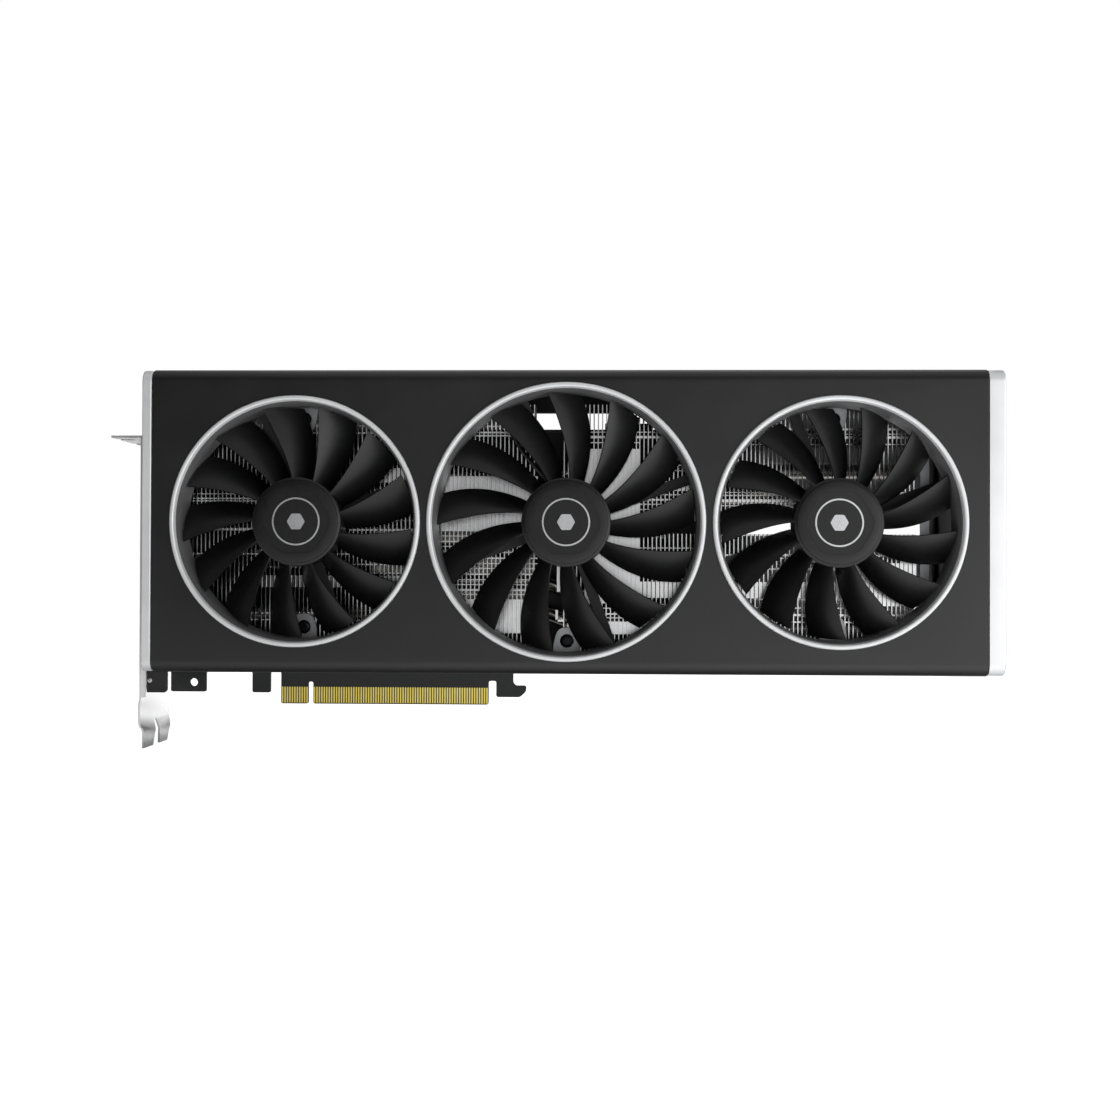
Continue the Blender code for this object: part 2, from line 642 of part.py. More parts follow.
def cable_routes():
    """Wire bundles from the motor bases up behind the frames and over the fins to the board's header."""
    lane_y = FRAME_BACK_Y + 1.25
    over = FIN_TOP + 3.0
    end = HEADER_Z + 0.4
    left = [(-27.0, lane_y, 88.5), (-33.0, lane_y, 100.0), (-37.0, lane_y, 114.0),
            (HEADER_X - 3.0, lane_y, over), (HEADER_X - 3.5, -24.0, over + 2),
            (HEADER_X - 3.5, -12.0, over), (HEADER_X - 3.5, -5.0, 114.0), (HEADER_X - 3.5, -3.6, end)]
    middle = [(68.0, lane_y, 87.5), (57.0, lane_y, 100.0), (49.0, lane_y, 114.0), (42.0, lane_y, over),
              (22.0, -24.0, over + 2), (-20.0, -16.0, over + 2), (HEADER_X + 2, -10.0, over),
              (HEADER_X, -5.0, 114.0), (HEADER_X, -3.6, end)]
    right = [(170.0, lane_y, 87.5), (160.0, lane_y, 100.0), (146.0, lane_y, 115.0), (136.0, lane_y, over),
             (110.0, -26.0, over + 4), (50.0, -23.0, over + 5), (-10.0, -12.0, over + 4),
             (HEADER_X + 7, -7.0, over), (HEADER_X + 3.5, -4.2, 114.0), (HEADER_X + 3.5, -3.6, end)]
    return (("left", left), ("middle", middle), ("right", right))


def make_fan_wiring():
    for side, points in cable_routes():
        make_tube("fan_cable_" + side, smooth_route(points, 3), CABLE_RADIUS, CABLE_BLACK)
    header = bmesh.new()
    add_box(header, (HEADER_X - 7.0, PART_Y - 4.6, HEADER_Z - 5.5), (HEADER_X + 7.0, PART_Y, HEADER_Z))
    finish("fan_header", header, BLACK_PLASTIC)


# ---------------------------------------------------------------- back and bracket

def cross_outline(margin):
    """Four-armed leaf round the processor, in (x, z), grown by a margin for the opening it sits in."""
    reach = RETENTION_SCREW + 3.5 + margin
    notch = 12.0 + 1.4 * margin
    width = 7.0 + margin
    outline = []
    for turn in range(4):
        c, s = cos(turn * pi / 2), sin(turn * pi / 2)
        quarter = [(reach, reach - width), (reach, reach), (reach - width, reach), (0, notch)]
        outline += [(GPU_X + a * c - b * s, GPU_Z + a * s + b * c) for a, b in quarter]
    return outline


def make_backplate():
    bm = bmesh.new()
    low, high = (BODY_LEFT, BACKPLATE_BOTTOM), (BODY_RIGHT - 2, BACKPLATE_TOP)
    add_prism(bm, rounded_outline(low, high, 3.0, 2), BACKPLATE_Y[0], BACKPLATE_Y[1])
    plate = finish("backplate", bm, BLACK_METAL)
    cuts = bmesh.new()
    window = rounded_outline((WINDOW_X[0], WINDOW_Z[0]), (WINDOW_X[1], WINDOW_Z[1]), 4.0, 2)
    add_prism(cuts, window, 0, 8)
    add_prism(cuts, cross_outline(1.0), 0, 8)
    for place in backplate_screw_places():
        add_cylinder(cuts, 1.7, 0, 8, place, segments=10)
    combine(plate, cuts, "DIFFERENCE")


def add_screw(bm, place, head_y, tip_y, head_radius=2.6, shank_radius=1.35, socket_radius=0.9):
    """Screw seen from the back: a pan head with a socket in it at head_y, and a shank down to tip_y."""
    segments = 10
    sections = ((socket_radius, head_y + 0.4), (socket_radius, head_y + 0.9), (head_radius, head_y + 0.9),
                (head_radius, head_y), (shank_radius, head_y), (shank_radius, tip_y))
    loops = []
    for r, y in sections:
        loops.append([bm.verts.new((place[0] + r * cos(2 * pi * i / segments), y,
                                    place[1] + r * sin(2 * pi * i / segments))) for i in range(segments)])
    for here, there in zip(loops, loops[1:]):
        for i in range(segments):
            j = (i + 1) % segments
            bm.faces.new((here[i], here[j], there[j], there[i]))
    bm.faces.new(loops[0])
    bm.faces.new(loops[-1])


def make_spring_screws():
    for number, place in enumerate(retention_places(), 1):
        bm = bmesh.new()
        add_screw(bm, place, BACKPLATE_Y[1] + GAP, COLD_PLATE_Y[1] + GAP)
        finish("spring_screw_%d" % number, bm, STEEL, smooth=30)


def make_spring_plate():
    """Cross-shaped leaf behind the processor that pulls the cold plate down on it."""
    bm = bmesh.new()
    add_prism(bm, cross_outline(0.0), BACKPLATE_Y[0], BACKPLATE_Y[1])
    plate = finish("spring_plate", bm, STEEL)
    holes = bmesh.new()
    for place in retention_places():
        add_cylinder(holes, 1.7, 0, 8, place, segments=10)
    combine(plate, holes, "DIFFERENCE")


def bracket_section():
    """Sheet section in (x, z): outward flange on top, flat plate, and a tail set out and then in."""
    outer, inner = BRACKET_X
    thick = BRACKET_THICKNESS
    tip = outer - FLANGE_REACH
    out, back = 0.5, 1.3
    return [(tip, BRACKET_TOP), (tip, BRACKET_TOP - thick), (outer, BRACKET_TOP - thick), (outer, 4.5),
            (outer - out, 2.2), (outer - out, TAIL_TOP), (outer - out + back, -8.6),
            (outer - out + back, TAIL_TIP),
            (inner - out + back, TAIL_TIP), (inner - out + back, -8.6), (inner - out, TAIL_TOP),
            (inner - out, 2.2), (inner, 4.5), (inner, BRACKET_TOP)]


def make_bracket():
    outer, inner = BRACKET_X
    near, far = BRACKET_Y
    bm = bmesh.new()
    add_prism(bm, bracket_section(), near, far)
    bracket = finish("bracket", bm, STEEL)
    lip = bmesh.new()
    add_box(lip, (inner - 0.4, near + 0.01, 5.0), (inner + 1.7, near + BRACKET_THICKNESS, 98.0))
    combine(bracket, lip, "UNION")
    cuts = bmesh.new()
    for z in PORT_HEIGHTS:
        add_box(cuts, (outer - 2, -7.6, z - 8.7), (inner + 2, -1.2, z + 8.7))
    for i in range(9):
        z = 22.0 + 9.5 * i
        add_box(cuts, (outer - 2, -31.0, z - 2.6), (inner + 2, -13.0, z + 2.6))
    gap_near, gap_far = near + 11.4, near + 21.5
    low, high = TAIL_TIP - 3, TAIL_TOP
    add_prism(cuts, [(gap_near, low), (gap_far, low), (gap_far, high), (near + 18.4, high)],
              outer - 5, inner + 5, "X")
    add_prism(cuts, [(far + 5, low), (far + 5, high), (far - 0.1, high), (far - 7.1, low + 3),
                     (far - 7.1, low)],
              outer - 5, inner + 5, "X")
    add_prism(cuts, [(near - 5, low), (near + 1.2, low), (near + 1.2, high - 2), (near - 5, high)],
              outer - 5, inner + 5, "X")
    for y in (near + 9.0, near + 29.3):
        add_box(cuts, (outer - FLANGE_REACH - 5, y - 2.2, BRACKET_TOP - 5),
                (outer - 5.2, y + 2.2, BRACKET_TOP + 5))
    combine(bracket, cuts, "DIFFERENCE")


def make_video_ports():
    """Four metal-shelled display sockets, each a box with a mouth facing the bracket and a tongue in it."""
    front = BRACKET_X[1] + GAP
    middle = PART_Y - 3.0
    mouth = [(-2.3, -7.6), (-0.5, -7.6), (-0.5, 6.4), (0.5, 6.4), (0.5, -7.6), (2.3, -7.6),
             (2.3, 7.6), (-2.3, 7.6)]
    for number, z in enumerate(PORT_HEIGHTS, 1):
        bm = bmesh.new()
        add_box(bm, (front, PART_Y - 6.0, z - 8.3), (front + PORT_DEPTH, PART_Y, z + 8.3))
        port = finish("video_port_%d" % number, bm, STEEL)
        cut = bmesh.new()
        add_prism(cut, [(middle + a, z + b) for a, b in mouth], front - 5, front + 10.0, "X")
        combine(port, cut, "DIFFERENCE")


def make_bracket_foot():
    """Foot plate that joins the cooler to the bracket's lip."""
    inner = BRACKET_X[1] + 1.7 + GAP
    top = BODY_BOTTOM - GAP
    outline = [(inner, 6.9), (-79.4, 6.9), (-78.4, 7.9), (-78.4, top), (inner, top)]
    bm = bmesh.new()
    add_prism(bm, outline, -36.0, -34.5)
    finish("bracket_foot", bm, BLACK_METAL)


def main():
    for old in list(bpy.data.objects):
        bpy.data.objects.remove(old)
    make_shroud()
    make_trims()
    make_top_bar()
    for side, x, radius in FANS:
        make_ring(side, x, radius)
        make_rotor(side, x, radius)
        make_stator(side, x)
        make_fan_frame(side, x, radius)
    make_fins()
    make_heat_pipes()
    make_cold_plate()
    make_cooler_frame()
    make_board()
    make_gpu()
    make_memory()
    make_power_parts()
    make_power_sockets()
    make_switch()
    make_fan_wiring()
    make_backplate()
    make_spring_screws()
    make_spring_plate()
    make_bracket()
    make_video_ports()
    make_bracket_foot()


main()
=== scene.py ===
from math import cos, pi, radians, sin

import bmesh
import bpy
from mathutils import Matrix, Vector


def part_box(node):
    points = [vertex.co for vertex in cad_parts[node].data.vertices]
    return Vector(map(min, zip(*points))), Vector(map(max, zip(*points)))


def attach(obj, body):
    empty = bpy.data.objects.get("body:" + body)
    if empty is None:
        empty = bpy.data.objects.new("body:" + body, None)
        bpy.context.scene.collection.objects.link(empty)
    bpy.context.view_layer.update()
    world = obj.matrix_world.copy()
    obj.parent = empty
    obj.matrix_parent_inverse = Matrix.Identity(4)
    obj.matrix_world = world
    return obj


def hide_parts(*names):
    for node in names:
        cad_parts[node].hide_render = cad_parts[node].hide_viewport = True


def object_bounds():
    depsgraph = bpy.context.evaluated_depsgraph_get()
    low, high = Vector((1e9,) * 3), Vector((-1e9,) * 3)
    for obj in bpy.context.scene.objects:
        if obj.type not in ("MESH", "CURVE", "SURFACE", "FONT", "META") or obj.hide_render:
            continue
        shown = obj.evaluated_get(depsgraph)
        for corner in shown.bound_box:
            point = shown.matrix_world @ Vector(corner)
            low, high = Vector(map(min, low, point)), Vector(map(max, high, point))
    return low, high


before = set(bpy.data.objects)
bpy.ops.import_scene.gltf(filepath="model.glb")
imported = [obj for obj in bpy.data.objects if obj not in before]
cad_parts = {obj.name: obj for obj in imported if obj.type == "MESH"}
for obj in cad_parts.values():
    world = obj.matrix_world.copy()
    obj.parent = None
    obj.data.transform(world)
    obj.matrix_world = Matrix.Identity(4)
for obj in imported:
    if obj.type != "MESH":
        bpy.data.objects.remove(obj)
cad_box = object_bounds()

# A triple-fan graphics card, lying as it hangs in its slot: X along the card with the bracket at -X, Z up,
# the fans facing -Y. Sizes are in millimetres and become metres when a piece is made.


# ---- Circuit board ----
# Glass-fibre laminate 1.6 mm thick under black solder mask, routed to shape. Its lower edge has the
# bracket tabs, the card edge with its key, and the lock hook; the router leaves round corners.
BOARD_HALF = 0.785
BOARD_OUTLINE = ((-87.2, 111.15), (-87.2, 4.6), (-72.7, 4.6), (-72.7, 13), (-53.9, 13), (-53.9, 4.4),
                 (-46.4, 4.4), (-46.4, 13), (-42.15, 13), (-42.15, 0), (-30.95, 0), (-30.95, 8.9),
                 (-29.05, 8.9), (-29.05, 0), (42.15, 0), (42.15, 9.6), (45.2, 9.6), (45.2, 3.1),
                 (54.8, 3.1), (57.3, 5.4), (57.3, 7.8), (53.2, 7.8), (52.1, 8.9), (52.1, 13),
                 (128, 13), (128, 111.15))
BOARD_CORNER = 0.9
PLATE_SCREWS = ((-80, 104), (-10, 104), (70, 20), (-60, 20), (120, 20), (120, 104))
GPU_X, GPU_Z = 30, 62
SPRING_SCREWS = [(GPU_X + a, GPU_Z + b) for a in (-26, 26) for b in (-26, 26)]
BRACKET_HOLE = (-77.8, 8.4)


def linear(colour):
    """Linear RGBA of an sRGB hex colour."""
    parts = [int(colour[i:i + 2], 16) / 255 for i in (1, 3, 5)]
    return (*[p / 12.92 if p <= 0.04045 else ((p + 0.055) / 1.055) ** 2.4 for p in parts], 1.0)


def add_node(tree, kind, inputs=(), **settings):
    """Add a node with its settings; each input is given a value or linked to another node's socket."""
    made = tree.nodes.new(kind)
    for key, value in settings.items():
        setattr(made, key, value)
    for key, value in dict(inputs).items():
        if isinstance(value, bpy.types.NodeSocket):
            tree.links.new(value, made.inputs[key])
        else:
            made.inputs[key].default_value = value
    return made


def surface(name, dark, light, roughness, grain, depth, metallic=0.0, stretch=(1, 1, 1), cloud=18):
    """Finish whose tone and polish drift over some centimetres, with a fine grain of a size and depth in mm.

    stretch is how often the grain repeats along each axis against the others: under 1 draws it out in lines.
    """
    look = bpy.data.materials.new(name)
    look.use_nodes = True
    tree = look.node_tree
    shader = tree.nodes["Principled BSDF"]
    shader.inputs["Metallic"].default_value = metallic
    where = add_node(tree, "ShaderNodeTexCoord").outputs["Object"]
    drawn = add_node(tree, "ShaderNodeMapping", {"Vector": where, "Scale": stretch}).outputs[0]
    fine = add_node(tree, "ShaderNodeTexNoise", {"Vector": drawn, "Scale": 1000 / grain, "Detail": 3.0})
    slow = add_node(tree, "ShaderNodeTexNoise", {"Vector": where, "Scale": 1000 / cloud, "Detail": 2.0})
    both = add_node(tree, "ShaderNodeMath", {0: fine.outputs[0], 1: slow.outputs[0]}, operation="ADD")
    share = add_node(tree, "ShaderNodeMapRange", {0: both.outputs[0], 1: 0.7, 2: 1.3})
    tone = add_node(tree, "ShaderNodeMix", {0: share.outputs[0], 6: linear(dark), 7: linear(light)},
                    data_type="RGBA")
    polish = add_node(tree, "ShaderNodeMapRange", {0: both.outputs[0], 1: 0.7, 2: 1.3,
                                                   3: roughness * 0.88, 4: roughness * 1.12})
    relief = add_node(tree, "ShaderNodeBump", {"Height": fine.outputs[0], "Distance": depth / 1000,
                                               "Strength": 1.0})
    tree.links.new(tone.outputs[2], shader.inputs["Base Color"])
    tree.links.new(polish.outputs[0], shader.inputs["Roughness"])
    tree.links.new(relief.outputs[0], shader.inputs["Normal"])
    return look


def round_corners(outline, radius, steps=5):
    """Closed outline with each corner rounded as far as its two edges allow."""
    points = []
    for i, corner in enumerate(outline):
        corner = Vector(corner)
        before, after = Vector(outline[i - 1]) - corner, Vector(outline[(i + 1) % len(outline)]) - corner
        cut = min(radius, before.length * 0.45, after.length * 0.45)
        start, end = corner + before.normalized() * cut, corner + after.normalized() * cut
        for k in range(steps + 1):
            t = k / steps
            points.append(start * (1 - t) ** 2 + corner * 2 * t * (1 - t) + end * t * t)
    return points


def add_slab(bm, outline, low, high, axis="Y"):
    """Extrude a closed outline along an axis; its pairs are the other two axes in X, Y, Z order."""
    place = {
        "X": lambda a, b, t: (t, a, b),
        "Y": lambda a, b, t: (a, t, b),
        "Z": lambda a, b, t: (a, b, t),
    }[axis]
    near = [bm.verts.new(place(p[0], p[1], low)) for p in outline]
    far = [bm.verts.new(place(p[0], p[1], high)) for p in outline]
    bm.faces.new(near)
    bm.faces.new(far)
    for i, vert in enumerate(near):
        j = (i + 1) % len(near)
        bm.faces.new((vert, near[j], far[j], far[i]))


def rectangle(left, bottom, right, top):
    return [(left, bottom), (right, bottom), (right, top), (left, top)]


def add_block(bm, low, high):
    """Add a rectangular block between two corners."""
    add_slab(bm, rectangle(low[0], low[2], high[0], high[2]), low[1], high[1])


def add_turned(bm, profile, segments, centre=(0, 0), closed=True):
    """Turn a (radius, y) profile about the Y axis; points on the axis become one vertex."""
    poles = {i: bm.verts.new((centre[0], y, centre[1])) for i, (r, y) in enumerate(profile) if r == 0}
    rings = []
    for step in range(segments):
        a = 2 * pi * step / segments
        rings.append([poles.get(i) or bm.verts.new((centre[0] + r * cos(a), y, centre[1] + r * sin(a)))
                      for i, (r, y) in enumerate(profile)])
    for step in range(segments):
        here, there = rings[step], rings[(step + 1) % segments]
        for i in range(len(profile) if closed else len(profile) - 1):
            j = (i + 1) % len(profile)
            corners = list(dict.fromkeys((here[i], here[j], there[j], there[i])))
            if len(corners) > 2:
                bm.faces.new(corners)


def make_piece(name, bm, look, smooth=35):
    """Object in metres from a bmesh in millimetres, with its faces outward."""
    bmesh.ops.scale(bm, verts=bm.verts, vec=(0.001, 0.001, 0.001))
    bmesh.ops.recalc_face_normals(bm, faces=bm.faces)
    mesh = bpy.data.meshes.new(name)
    bm.to_mesh(mesh)
    bm.free()
    mesh.materials.append(look)
    mesh.shade_smooth()
    mesh.set_sharp_from_angle(angle=radians(smooth))
    piece = bpy.data.objects.new(name, mesh)
    bpy.context.scene.collection.objects.link(piece)
    return piece


def settle(piece):
    """Make the result of an object's modifiers its own mesh."""
    bpy.context.view_layer.update()
    mesh = bpy.data.meshes.new_from_object(piece.evaluated_get(bpy.context.evaluated_depsgraph_get()))
    piece.modifiers.clear()
    piece.data = mesh
    return piece


def cut(piece, bm):
    """Cut a closed shape out of a piece."""
    tool = make_piece("tool", bm, piece.data.materials[0])
    step = piece.modifiers.new("cut", "BOOLEAN")
    step.operation = "DIFFERENCE"
    step.solver = "EXACT"
    step.object = tool
    settle(piece)
    piece.data.set_sharp_from_angle(angle=radians(35))
    bpy.data.objects.remove(tool)
    return piece


def ease_edges(piece, width, segments=2, angle=40):
    """Round the sharp edges by a width in mm."""
    step = piece.modifiers.new("edges", "BEVEL")
    step.width = width / 1000
    step.segments = segments
    step.angle_limit = radians(angle)
    step.harden_normals = True
    return settle(piece)


def fit(piece, body, finish, *nodes):
    """Say what a piece moves with and which plain solids it stands for; the finish is not used."""
    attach(piece, body)
    if nodes:
        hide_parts(*nodes)
    return piece


def hole(bm, place, radius, low, high, segments=32):
    """Closed round plug along Y at an (x, z) place, to be cut out of a piece."""
    add_turned(bm, [(0, low), (radius, low), (radius, high), (0, high)], segments, place, closed=False)


# Black solder mask over copper: a soft gloss, with the traces just showing as slightly raised straight lines
solder_mask = surface("solder_mask_black_sprayed", "#1C1E1D", "#262928", 0.42, 0.5, 0.004)
tree = solder_mask.node_tree
where = add_node(tree, "ShaderNodeTexCoord").outputs["Object"]
# Traces are 0.2 mm apart; they are drawn 1.1 mm apart so that they show
traces = add_node(tree, "ShaderNodeTexWave", {"Vector": where, "Scale": 290.0, "Distortion": 1.5,
                                              "Detail": 1.0, "Detail Scale": 0.2}, bands_direction="DIAGONAL")
raised = add_node(tree, "ShaderNodeBump", {"Height": traces.outputs["Fac"], "Distance": 0.00002,
                                           "Normal": tree.nodes["Bump"].outputs[0]})
tree.links.new(raised.outputs[0], tree.nodes["Principled BSDF"].inputs["Normal"])

bm = bmesh.new()
add_slab(bm, round_corners(BOARD_OUTLINE, BOARD_CORNER), -BOARD_HALF, BOARD_HALF)
board = make_piece("circuit_board", bm, solder_mask)
holes = bmesh.new()
for place in (*PLATE_SCREWS, *SPRING_SCREWS, BRACKET_HOLE):
    hole(holes, place, 1.6, -4, 4)
cut(board, holes)
fit(ease_edges(board, 0.12, segments=1), "card", "board_black", "pcb")

# Edge contacts: hard gold plated on copper, 0.58 mm wide at 1 mm pitch, 11 and 71 on each face. The gold is
# thin and bright, with the polish of the plating.
CONTACT_ROWS = ((-41.5, 11), (-28.5, 71))
CONTACT_HALF, CONTACT_LOW, CONTACT_HIGH, PLATING = 0.29, 0.4, 6.8, 0.04
gold = surface("hard_gold_plated", "#EBD05A", "#F8E88C", 0.3, 0.3, 0.001, metallic=1.0, stretch=(1, 1, 0.1))


def new_tree(name, sizes):
    """Geometry node group with named sizes and a finish; gives the tree and its inputs."""
    tree = bpy.data.node_groups.new(name, "GeometryNodeTree")
    tree.interface.new_socket("Geometry", in_out="OUTPUT", socket_type="NodeSocketGeometry")
    for label, kind in (("Geometry", "Geometry"), *sizes.items(), ("Finish", "Material")):
        tree.interface.new_socket(label, in_out="INPUT", socket_type="NodeSocket" + kind)
    return tree, add_node(tree, "NodeGroupInput").outputs


def close_tree(tree, given, instances):
    """End a tree in real geometry with its finish."""
    real = add_node(tree, "GeometryNodeRealizeInstances", {0: instances})
    done = add_node(tree, "GeometryNodeSetMaterial", {"Geometry": real.outputs[0],
                                                      "Material": given["Finish"]})
    add_node(tree, "NodeGroupOutput", {0: done.outputs[0]})


def grow(piece, tree, **sizes):
    """Run a node tree on an object, and keep what it makes as a plain mesh."""
    step = piece.modifiers.new(tree.name, "NODES")
    step.node_group = tree
    for socket in tree.interface.items_tree:
        if socket.in_out == "INPUT" and socket.name in sizes:
            step[socket.identifier] = sizes[socket.name]
    return settle(piece)


def join(name, pieces):
    """Put several pieces' meshes in one object."""
    bm = bmesh.new()
    for piece in pieces:
        bm.from_mesh(piece.data)
    whole = bpy.data.objects.new(name, bpy.data.meshes.new(name))
    bm.to_mesh(whole.data)
    bm.free()
    whole.data.materials.append(pieces[0].data.materials[0])
    bpy.context.scene.collection.objects.link(whole)
    for piece in pieces:
        bpy.data.objects.remove(piece)
    return whole


# Row: copies of the piece in a straight line, one step apart
row_tree, given = new_tree("row", {"Count": "Int", "Step": "Vector"})
line = add_node(row_tree, "GeometryNodeMeshLine", {"Count": given["Count"], "Offset": given["Step"]})
copies = add_node(row_tree, "GeometryNodeInstanceOnPoints", {"Points": line.outputs[0],
                                                             "Instance": given["Geometry"]})
close_tree(row_tree, given, copies.outputs[0])

rows = []
for first, count in CONTACT_ROWS:
    bm = bmesh.new()
    outline = rectangle(first - CONTACT_HALF, CONTACT_LOW, first + CONTACT_HALF, CONTACT_HIGH)
    for low, high in ((-BOARD_HALF - PLATING, -BOARD_HALF + 0.02), (BOARD_HALF - 0.02, BOARD_HALF + PLATING)):
        add_slab(bm, outline, low, high)
    row = make_piece("contacts", bm, gold)
    rows.append(grow(row, row_tree, Count=count, Step=(0.001, 0, 0), Finish=gold))
fit(join("edge_contacts", rows), "card", "board_black")


# ---- Processor, memory and power parts ----
# Soldered parts: a bare silicon die on a laminate package, eight memory chips in black epoxy under a soft
# silicone pad, ferrite chokes, and aluminium polymer capacitors with pressed tops.
# Epoxy moulding compound: dark, even and slightly dusty, from the fine silica in it
epoxy = surface("epoxy_moulding_compound", "#1B1B1D", "#262628", 0.55, 0.25, 0.003)
# Polished silicon: blue-grey mirror with a faint haze
die = surface("silicon_die_polished", "#56606E", "#6B7686", 0.12, 0.8, 0.0005, metallic=0.7)
# Silicone pad: matte, soft and dry, with the print of its woven liner
pad = surface("silicone_thermal_pad", "#70767C", "#858B91", 0.85, 0.6, 0.03)
# Pressed ferrite powder: charcoal, dull, with a sandy bite
ferrite = surface("pressed_ferrite", "#303034", "#3E3E42", 0.75, 0.3, 0.02)
# Drawn aluminium can: satin, with lines running round from the drawing
can = surface("drawn_aluminium_can", "#B5B8BB", "#D0D2D4", 0.35, 0.4, 0.004, metallic=1.0,
              stretch=(0.3, 1, 0.3))


def eased_copy(node, look, width, segments=2):
    """Copy of a plain solid with its edges rounded by a width in mm."""
    bm = bmesh.new()
    bm.from_mesh(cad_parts[node].data)
    bmesh.ops.remove_doubles(bm, verts=bm.verts, dist=1e-6)
    bmesh.ops.dissolve_limit(bm, angle_limit=radians(1), verts=bm.verts, edges=bm.edges)
    bmesh.ops.scale(bm, verts=bm.verts, vec=(1000, 1000, 1000))
    return ease_edges(make_piece(node + "_part", bm, look), width, segments)


SOLDERED = (("gpu_package", solder_mask, 0.1, "board_black"), ("gpu_die", die, 0.05, "silicon"),
            ("memory_left", epoxy, 0.08, "chip_black"), ("memory_right", epoxy, 0.08, "chip_black"),
            ("memory_top", epoxy, 0.08, "chip_black"), ("thermal_pad", pad, 0.25, "pad_grey"),
            ("inductors", ferrite, 0.5, "chip_black"))
for node, look, width, finish in SOLDERED:
    fit(eased_copy(node, look, width), "card", finish, node)

low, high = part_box("capacitors")
CAN_RADIUS, CAN_COUNT, CAN_PITCH = 2.9, 6, 10.5
CAN_X, CAN_Z, CAN_BASE_HALF = 110.0, 28.0, 2.8
foot_y, top_y = high.y * 1000, low.y * 1000
bm = bmesh.new()
add_block(bm, (CAN_X - CAN_BASE_HALF, foot_y - 0.8, CAN_Z - CAN_BASE_HALF),
          (CAN_X + CAN_BASE_HALF, foot_y, CAN_Z + CAN_BASE_HALF))
# The rim is crimped in, and the top is pressed down inside it
profile = [(0, foot_y - 0.6), (2.5, foot_y - 0.6), (CAN_RADIUS, foot_y - 0.9), (CAN_RADIUS, foot_y - 1.4),
           (2.55, foot_y - 1.7), (CAN_RADIUS, foot_y - 2.0), (CAN_RADIUS, top_y + 0.35), (2.6, top_y),
           (2.2, top_y), (2.1, top_y + 0.15), (0, top_y + 0.15)]
add_turned(bm, profile, 28, (CAN_X, CAN_Z), closed=False)
cans = make_piece("capacitor_cans", bm, can)
grow(cans, row_tree, Count=CAN_COUNT, Step=(0, 0, CAN_PITCH / 1000), Finish=can)
fit(cans, "card", "fin_aluminium", "capacitors")


# ---- Power sockets, fan header and switch ----
# Two eight-way power headers moulded in black nylon with square tinned pins, the small fan header beside the
# top edge, and a slide switch in a folded steel shell. All are soldered to the board.
# Glass-filled nylon: black with a dry, slightly streaky gloss
nylon = surface("nylon_glass_filled", "#121214", "#1B1B1D", 0.42, 0.6, 0.008, stretch=(1, 1, 0.4))
# Tin plate: soft white metal
tin = surface("tin_plated_pin", "#B9BABB", "#D2D3D3", 0.28, 0.5, 0.002, metallic=1.0)
# Zinc-plated steel: cool grey, with fine rolling lines along the sheet
zinc_steel = surface("zinc_plated_steel", "#B4B6B8", "#CFD0D1", 0.34, 0.5, 0.004, metallic=1.0,
                     stretch=(1, 1, 0.06))
SOCKET_PITCH, PIN_HALF = 4.2, 0.4
for side in ("left", "right"):
    node = "power_socket_" + side
    fit(eased_copy(node, nylon, 0.25), "card", "fan_black", node)
    low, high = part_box(node)
    middle_x, middle_y = (low.x + high.x) * 500, (low.y + high.y) * 500
    front, mouth = low.y * 1000, high.z * 1000
    bm = bmesh.new()
    for row in (-0.5, 0.5):
        x, y = middle_x - 1.5 * SOCKET_PITCH, middle_y + row * SOCKET_PITCH
        outline = rectangle(x - PIN_HALF, y - PIN_HALF, x + PIN_HALF, y + PIN_HALF)
        add_slab(bm, round_corners(outline, 0.12, 2), mouth - 9.5, mouth - 2.5, "Z")
    pins = make_piece("pins_" + side, bm, tin)
    fit(grow(pins, row_tree, Count=4, Step=(SOCKET_PITCH / 1000, 0, 0), Finish=tin), "card", "steel")
    # Latch bar on the front wall, which the plug's clip snaps over
    bm = bmesh.new()
    add_slab(bm, [(front - 1.1, mouth - 3.6), (front + 0.3, mouth - 4.6), (front + 0.3, mouth - 1.6),
                  (front - 1.1, mouth - 2.4)], middle_x - 3.2, middle_x + 3.2, "X")
    fit(ease_edges(make_piece("latch_" + side, bm, nylon), 0.15), "card", "fan_black")
fit(eased_copy("fan_header", nylon, 0.25), "card", "shroud_black", "fan_header")
fit(eased_copy("switch_body", zinc_steel, 0.15), "card", "steel", "switch_body")
fit(eased_copy("switch_slider", nylon, 0.2), "bios_switch", "fan_black", "switch_slider")


# ---- Cold plate, cooler frame and heat pipes ----
# A nickel-plated copper plate stands on the processor inside a black cast frame. Five nickel-plated copper
# pipes of 6 mm are soldered to it and run into both fin stacks; their ends are spun shut.
# Electroless nickel on copper: warm mirror-like metal with long faint draw marks
nickel = surface("nickel_plated_copper", "#B3AFA8", "#D6D2CB", 0.16, 0.9, 0.003, metallic=1.0,
                 stretch=(0.05, 1, 1))
# Powder coat on cast aluminium: matte black with a fine orange-peel
powder_black = surface("powder_coat_black", "#161617", "#202022", 0.5, 0.45, 0.02)
PIPE_RADIUS, PIPE_Y = 3.0, -10.2
PIPE_LEFT, BEND_START, BEND_END, PIPE_RIGHT = -74.0, 61.5, 78.0, 204.0
PIPE_HEIGHTS = ((38, 34), (50, 46), (62, 58), (74, 82), (86, 94))
fit(eased_copy("cold_plate", nickel, 0.3), "card", "pipe_nickel", "cold_plate")
fit(eased_copy("cooler_frame", powder_black, 0.3), "card", "black_metal", "cooler_frame")


